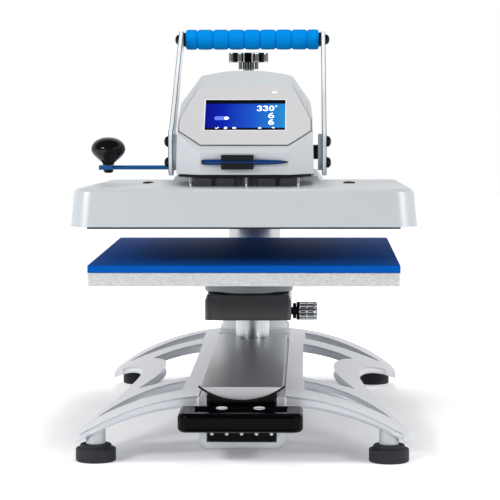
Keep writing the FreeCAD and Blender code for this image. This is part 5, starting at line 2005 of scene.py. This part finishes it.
class PRESS_OT_stage(PressOperator):
    """Makes the pale floor, the soft lamps, the world and the camera"""

    bl_idname = "press.stage"
    bl_label = "Stage and camera"

    def execute(self, context):
        self.floor()
        self.world(context)
        self.lamps()
        self.camera(context)
        context.scene.view_settings.view_transform = "Standard"
        return {"FINISHED"}

    def floor(self):
        """Matt paper floor: its shade shows the shadows. Seen rays lift it to a pale ground, but less
        near the press: a painted shade round its foot.
        """
        # Within the first distance the seen floor is lifted less: a painted shade that darkens the floor
        # round the press
        painted_shade_ends, ground_starts = 0.28, 0.74  # metres from the middle of the press
        lift_in_painted_shade, lift_of_ground = 0.13, 0.66
        material, tree, place = start("matt_paper_floor_with_painted_shade")
        fibre = add(
            tree, "ShaderNodeTexNoise", {"Scale": 1 / (300 * MM), "Detail": 1.0}, {"Vector": place}
        )
        tone = add(
            tree,
            "ShaderNodeValToRGB",
            {"stops": shades(colours().floor, 0.006)},
            {"Fac": fibre.outputs["Fac"]},
        )
        paper = add(
            tree, "ShaderNodeBsdfDiffuse", {"Roughness": 0.5}, {"Color": tone.outputs["Color"]}
        )
        rays = add(tree, "ShaderNodeLightPath")
        seen = add(
            tree,
            "ShaderNodeMath",
            {"operation": "MAXIMUM"},
            {0: rays.outputs["Is Camera Ray"], 1: rays.outputs["Is Glossy Ray"]},
        )
        away = add(tree, "ShaderNodeVectorMath", {"operation": "LENGTH"}, {0: place})
        painted_shade_fade = add(
            tree,
            "ShaderNodeMapRange",
            {
                "From Min": painted_shade_ends,
                "From Max": ground_starts,
                "To Min": lift_in_painted_shade,
                "To Max": lift_of_ground,
            },
            {"Value": away.outputs["Value"]},
        )
        lift = add(
            tree,
            "ShaderNodeMath",
            {"operation": "MULTIPLY"},
            {0: seen.outputs["Value"], 1: painted_shade_fade.outputs["Result"]},
        )
        glow = add(tree, "ShaderNodeEmission", {}, {"Strength": lift.outputs["Value"]})
        both = add(
            tree,
            "ShaderNodeAddShader",
            {},
            {0: paper.outputs["BSDF"], 1: glow.outputs["Emission"]},
        )
        close(tree, both.outputs["Shader"])
        bm = bmesh.new()
        just_below = Matrix.Translation((0, 0, -0.5 * MM))
        bmesh.ops.create_circle(bm, cap_ends=True, radius=6.0, segments=96, matrix=just_below)
        mesh = bpy.data.meshes.new("floor")
        bm.to_mesh(mesh)
        bm.free()
        mesh.materials.append(material)
        floor = bpy.data.objects.new("floor", mesh)
        bpy.context.scene.collection.objects.link(floor)
        floor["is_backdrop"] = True

    def world(self, context):
        """Soft grey light all round. Seen directly or through glass it is the white backdrop, and
        gloss sees that backdrop behind the press and a dimmer room before it."""
        world = bpy.data.worlds.new("studio")
        context.scene.world = world
        world.use_nodes = True
        tree = world.node_tree
        tree.nodes.clear()
        rays = add(tree, "ShaderNodeLightPath")
        way = add(tree, "ShaderNodeTexCoord").outputs["Generated"]
        back = add(
            tree,
            "ShaderNodeVectorMath",
            {"operation": "DOT_PRODUCT", 1: (0.0, 1.0, -0.75)},
            {0: way},
        )
        room = add(
            tree,
            "ShaderNodeMapRange",
            {"From Min": -0.35, "From Max": 0.08, "To Min": 0.16, "To Max": 1.0},
            {"Value": back.outputs["Value"]},
        )
        level = add(
            tree,
            "ShaderNodeMapRange",
            {"To Min": sizes().ambient},
            {"Value": rays.outputs["Is Glossy Ray"], "To Max": room.outputs["Result"]},
        )
        seen = add(
            tree,
            "ShaderNodeMath",
            {"operation": "MAXIMUM"},
            {0: rays.outputs["Is Camera Ray"], 1: rays.outputs["Is Transmission Ray"]},
        )
        strength = add(
            tree,
            "ShaderNodeMath",
            {"operation": "MAXIMUM"},
            {0: level.outputs["Result"], 1: seen.outputs["Value"]},
        )
        sky = add(
            tree,
            "ShaderNodeBackground",
            {"Color": (1, 1, 1, 1)},
            {"Strength": strength.outputs["Value"]},
        )
        add(tree, "ShaderNodeOutputWorld", {}, {"Surface": sky.outputs["Background"]})

    def lamps(self):
        """Five soft lamps. Only the two in front show in gloss: the strips glared in a side view."""
        for name, (spot, aim, wide, high, watts) in LAMPS.items():
            data = bpy.data.lights.new(name, "AREA")
            data.shape = "RECTANGLE"
            data.size = wide
            data.size_y = high
            data.energy = watts
            lamp = bpy.data.objects.new(name, data)
            lamp.location = spot
            lamp.rotation_euler = (Vector(aim) - Vector(spot)).to_track_quat("-Z", "Y").to_euler()
            lamp.visible_glossy = name in ("key_softbox", "fill_softbox")
            bpy.context.scene.collection.objects.link(lamp)

    def camera(self, context):
        """A long lens in front, a little above and to the right, as in the photograph."""
        data = bpy.data.cameras.new("camera")
        data.sensor_width = 36
        data.lens = sizes().camera_focal
        data.clip_start = 0.05
        data.clip_end = 60
        camera = bpy.data.objects.new("camera", data)
        camera.location = CAMERA_SPOT
        camera.rotation_mode = "XYZ"
        camera.rotation_euler = (math.radians(90) - CAMERA_DOWN, CAMERA_ROLL, CAMERA_YAW)
        context.scene.collection.objects.link(camera)
        context.scene.camera = camera


class PRESS_PT_panel(Panel):
    """Lists the press's operators, colours and sizes"""

    bl_idname = "PRESS_PT_panel"
    bl_label = "Heat press"
    bl_space_type = "VIEW_3D"
    bl_region_type = "UI"
    bl_category = "Heat press"

    def draw(self, context):
        for operator in OPERATORS:
            self.layout.operator(operator.bl_idname)
        for group in (context.scene.press_colours, context.scene.press_sizes):
            box = self.layout.box()
            for name in group.__class__.__annotations__:
                box.prop(group, name)


OPERATORS = (
    PRESS_OT_stage,
    PRESS_OT_base,
    PRESS_OT_feet,
    PRESS_OT_slide,
    PRESS_OT_drawer_handle,
    PRESS_OT_pedestal,
    PRESS_OT_lock,
    PRESS_OT_lower_platen,
    PRESS_OT_column,
    PRESS_OT_head,
    PRESS_OT_screen,
    PRESS_OT_stylus,
    PRESS_OT_pressure_knob,
    PRESS_OT_handle,
    PRESS_OT_grip,
    PRESS_OT_side_rod,
    PRESS_OT_cover,
    PRESS_OT_hot_plate,
    PRESS_OT_works,
    PRESS_OT_electrics,
)
CLASSES = (PressColours, PressSizes, *OPERATORS, PRESS_PT_panel)


def register():
    for cls in CLASSES:
        bpy.utils.register_class(cls)
    bpy.types.Scene.press_colours = PointerProperty(type=PressColours)
    bpy.types.Scene.press_sizes = PointerProperty(type=PressSizes)


def unregister():
    del bpy.types.Scene.press_sizes
    del bpy.types.Scene.press_colours
    for cls in reversed(CLASSES):
        bpy.utils.unregister_class(cls)


def corners():
    """Low and high corner of all that is in the scene but the stage."""
    low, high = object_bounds()
    return [list(low), list(high)]


def main():
    """Makes the press, piece by piece."""
    register()
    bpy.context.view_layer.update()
    for operator in OPERATORS:
        family, name = operator.bl_idname.split(".")
        getattr(getattr(bpy.ops, family), name)()


if __name__ == "__main__":
    main()
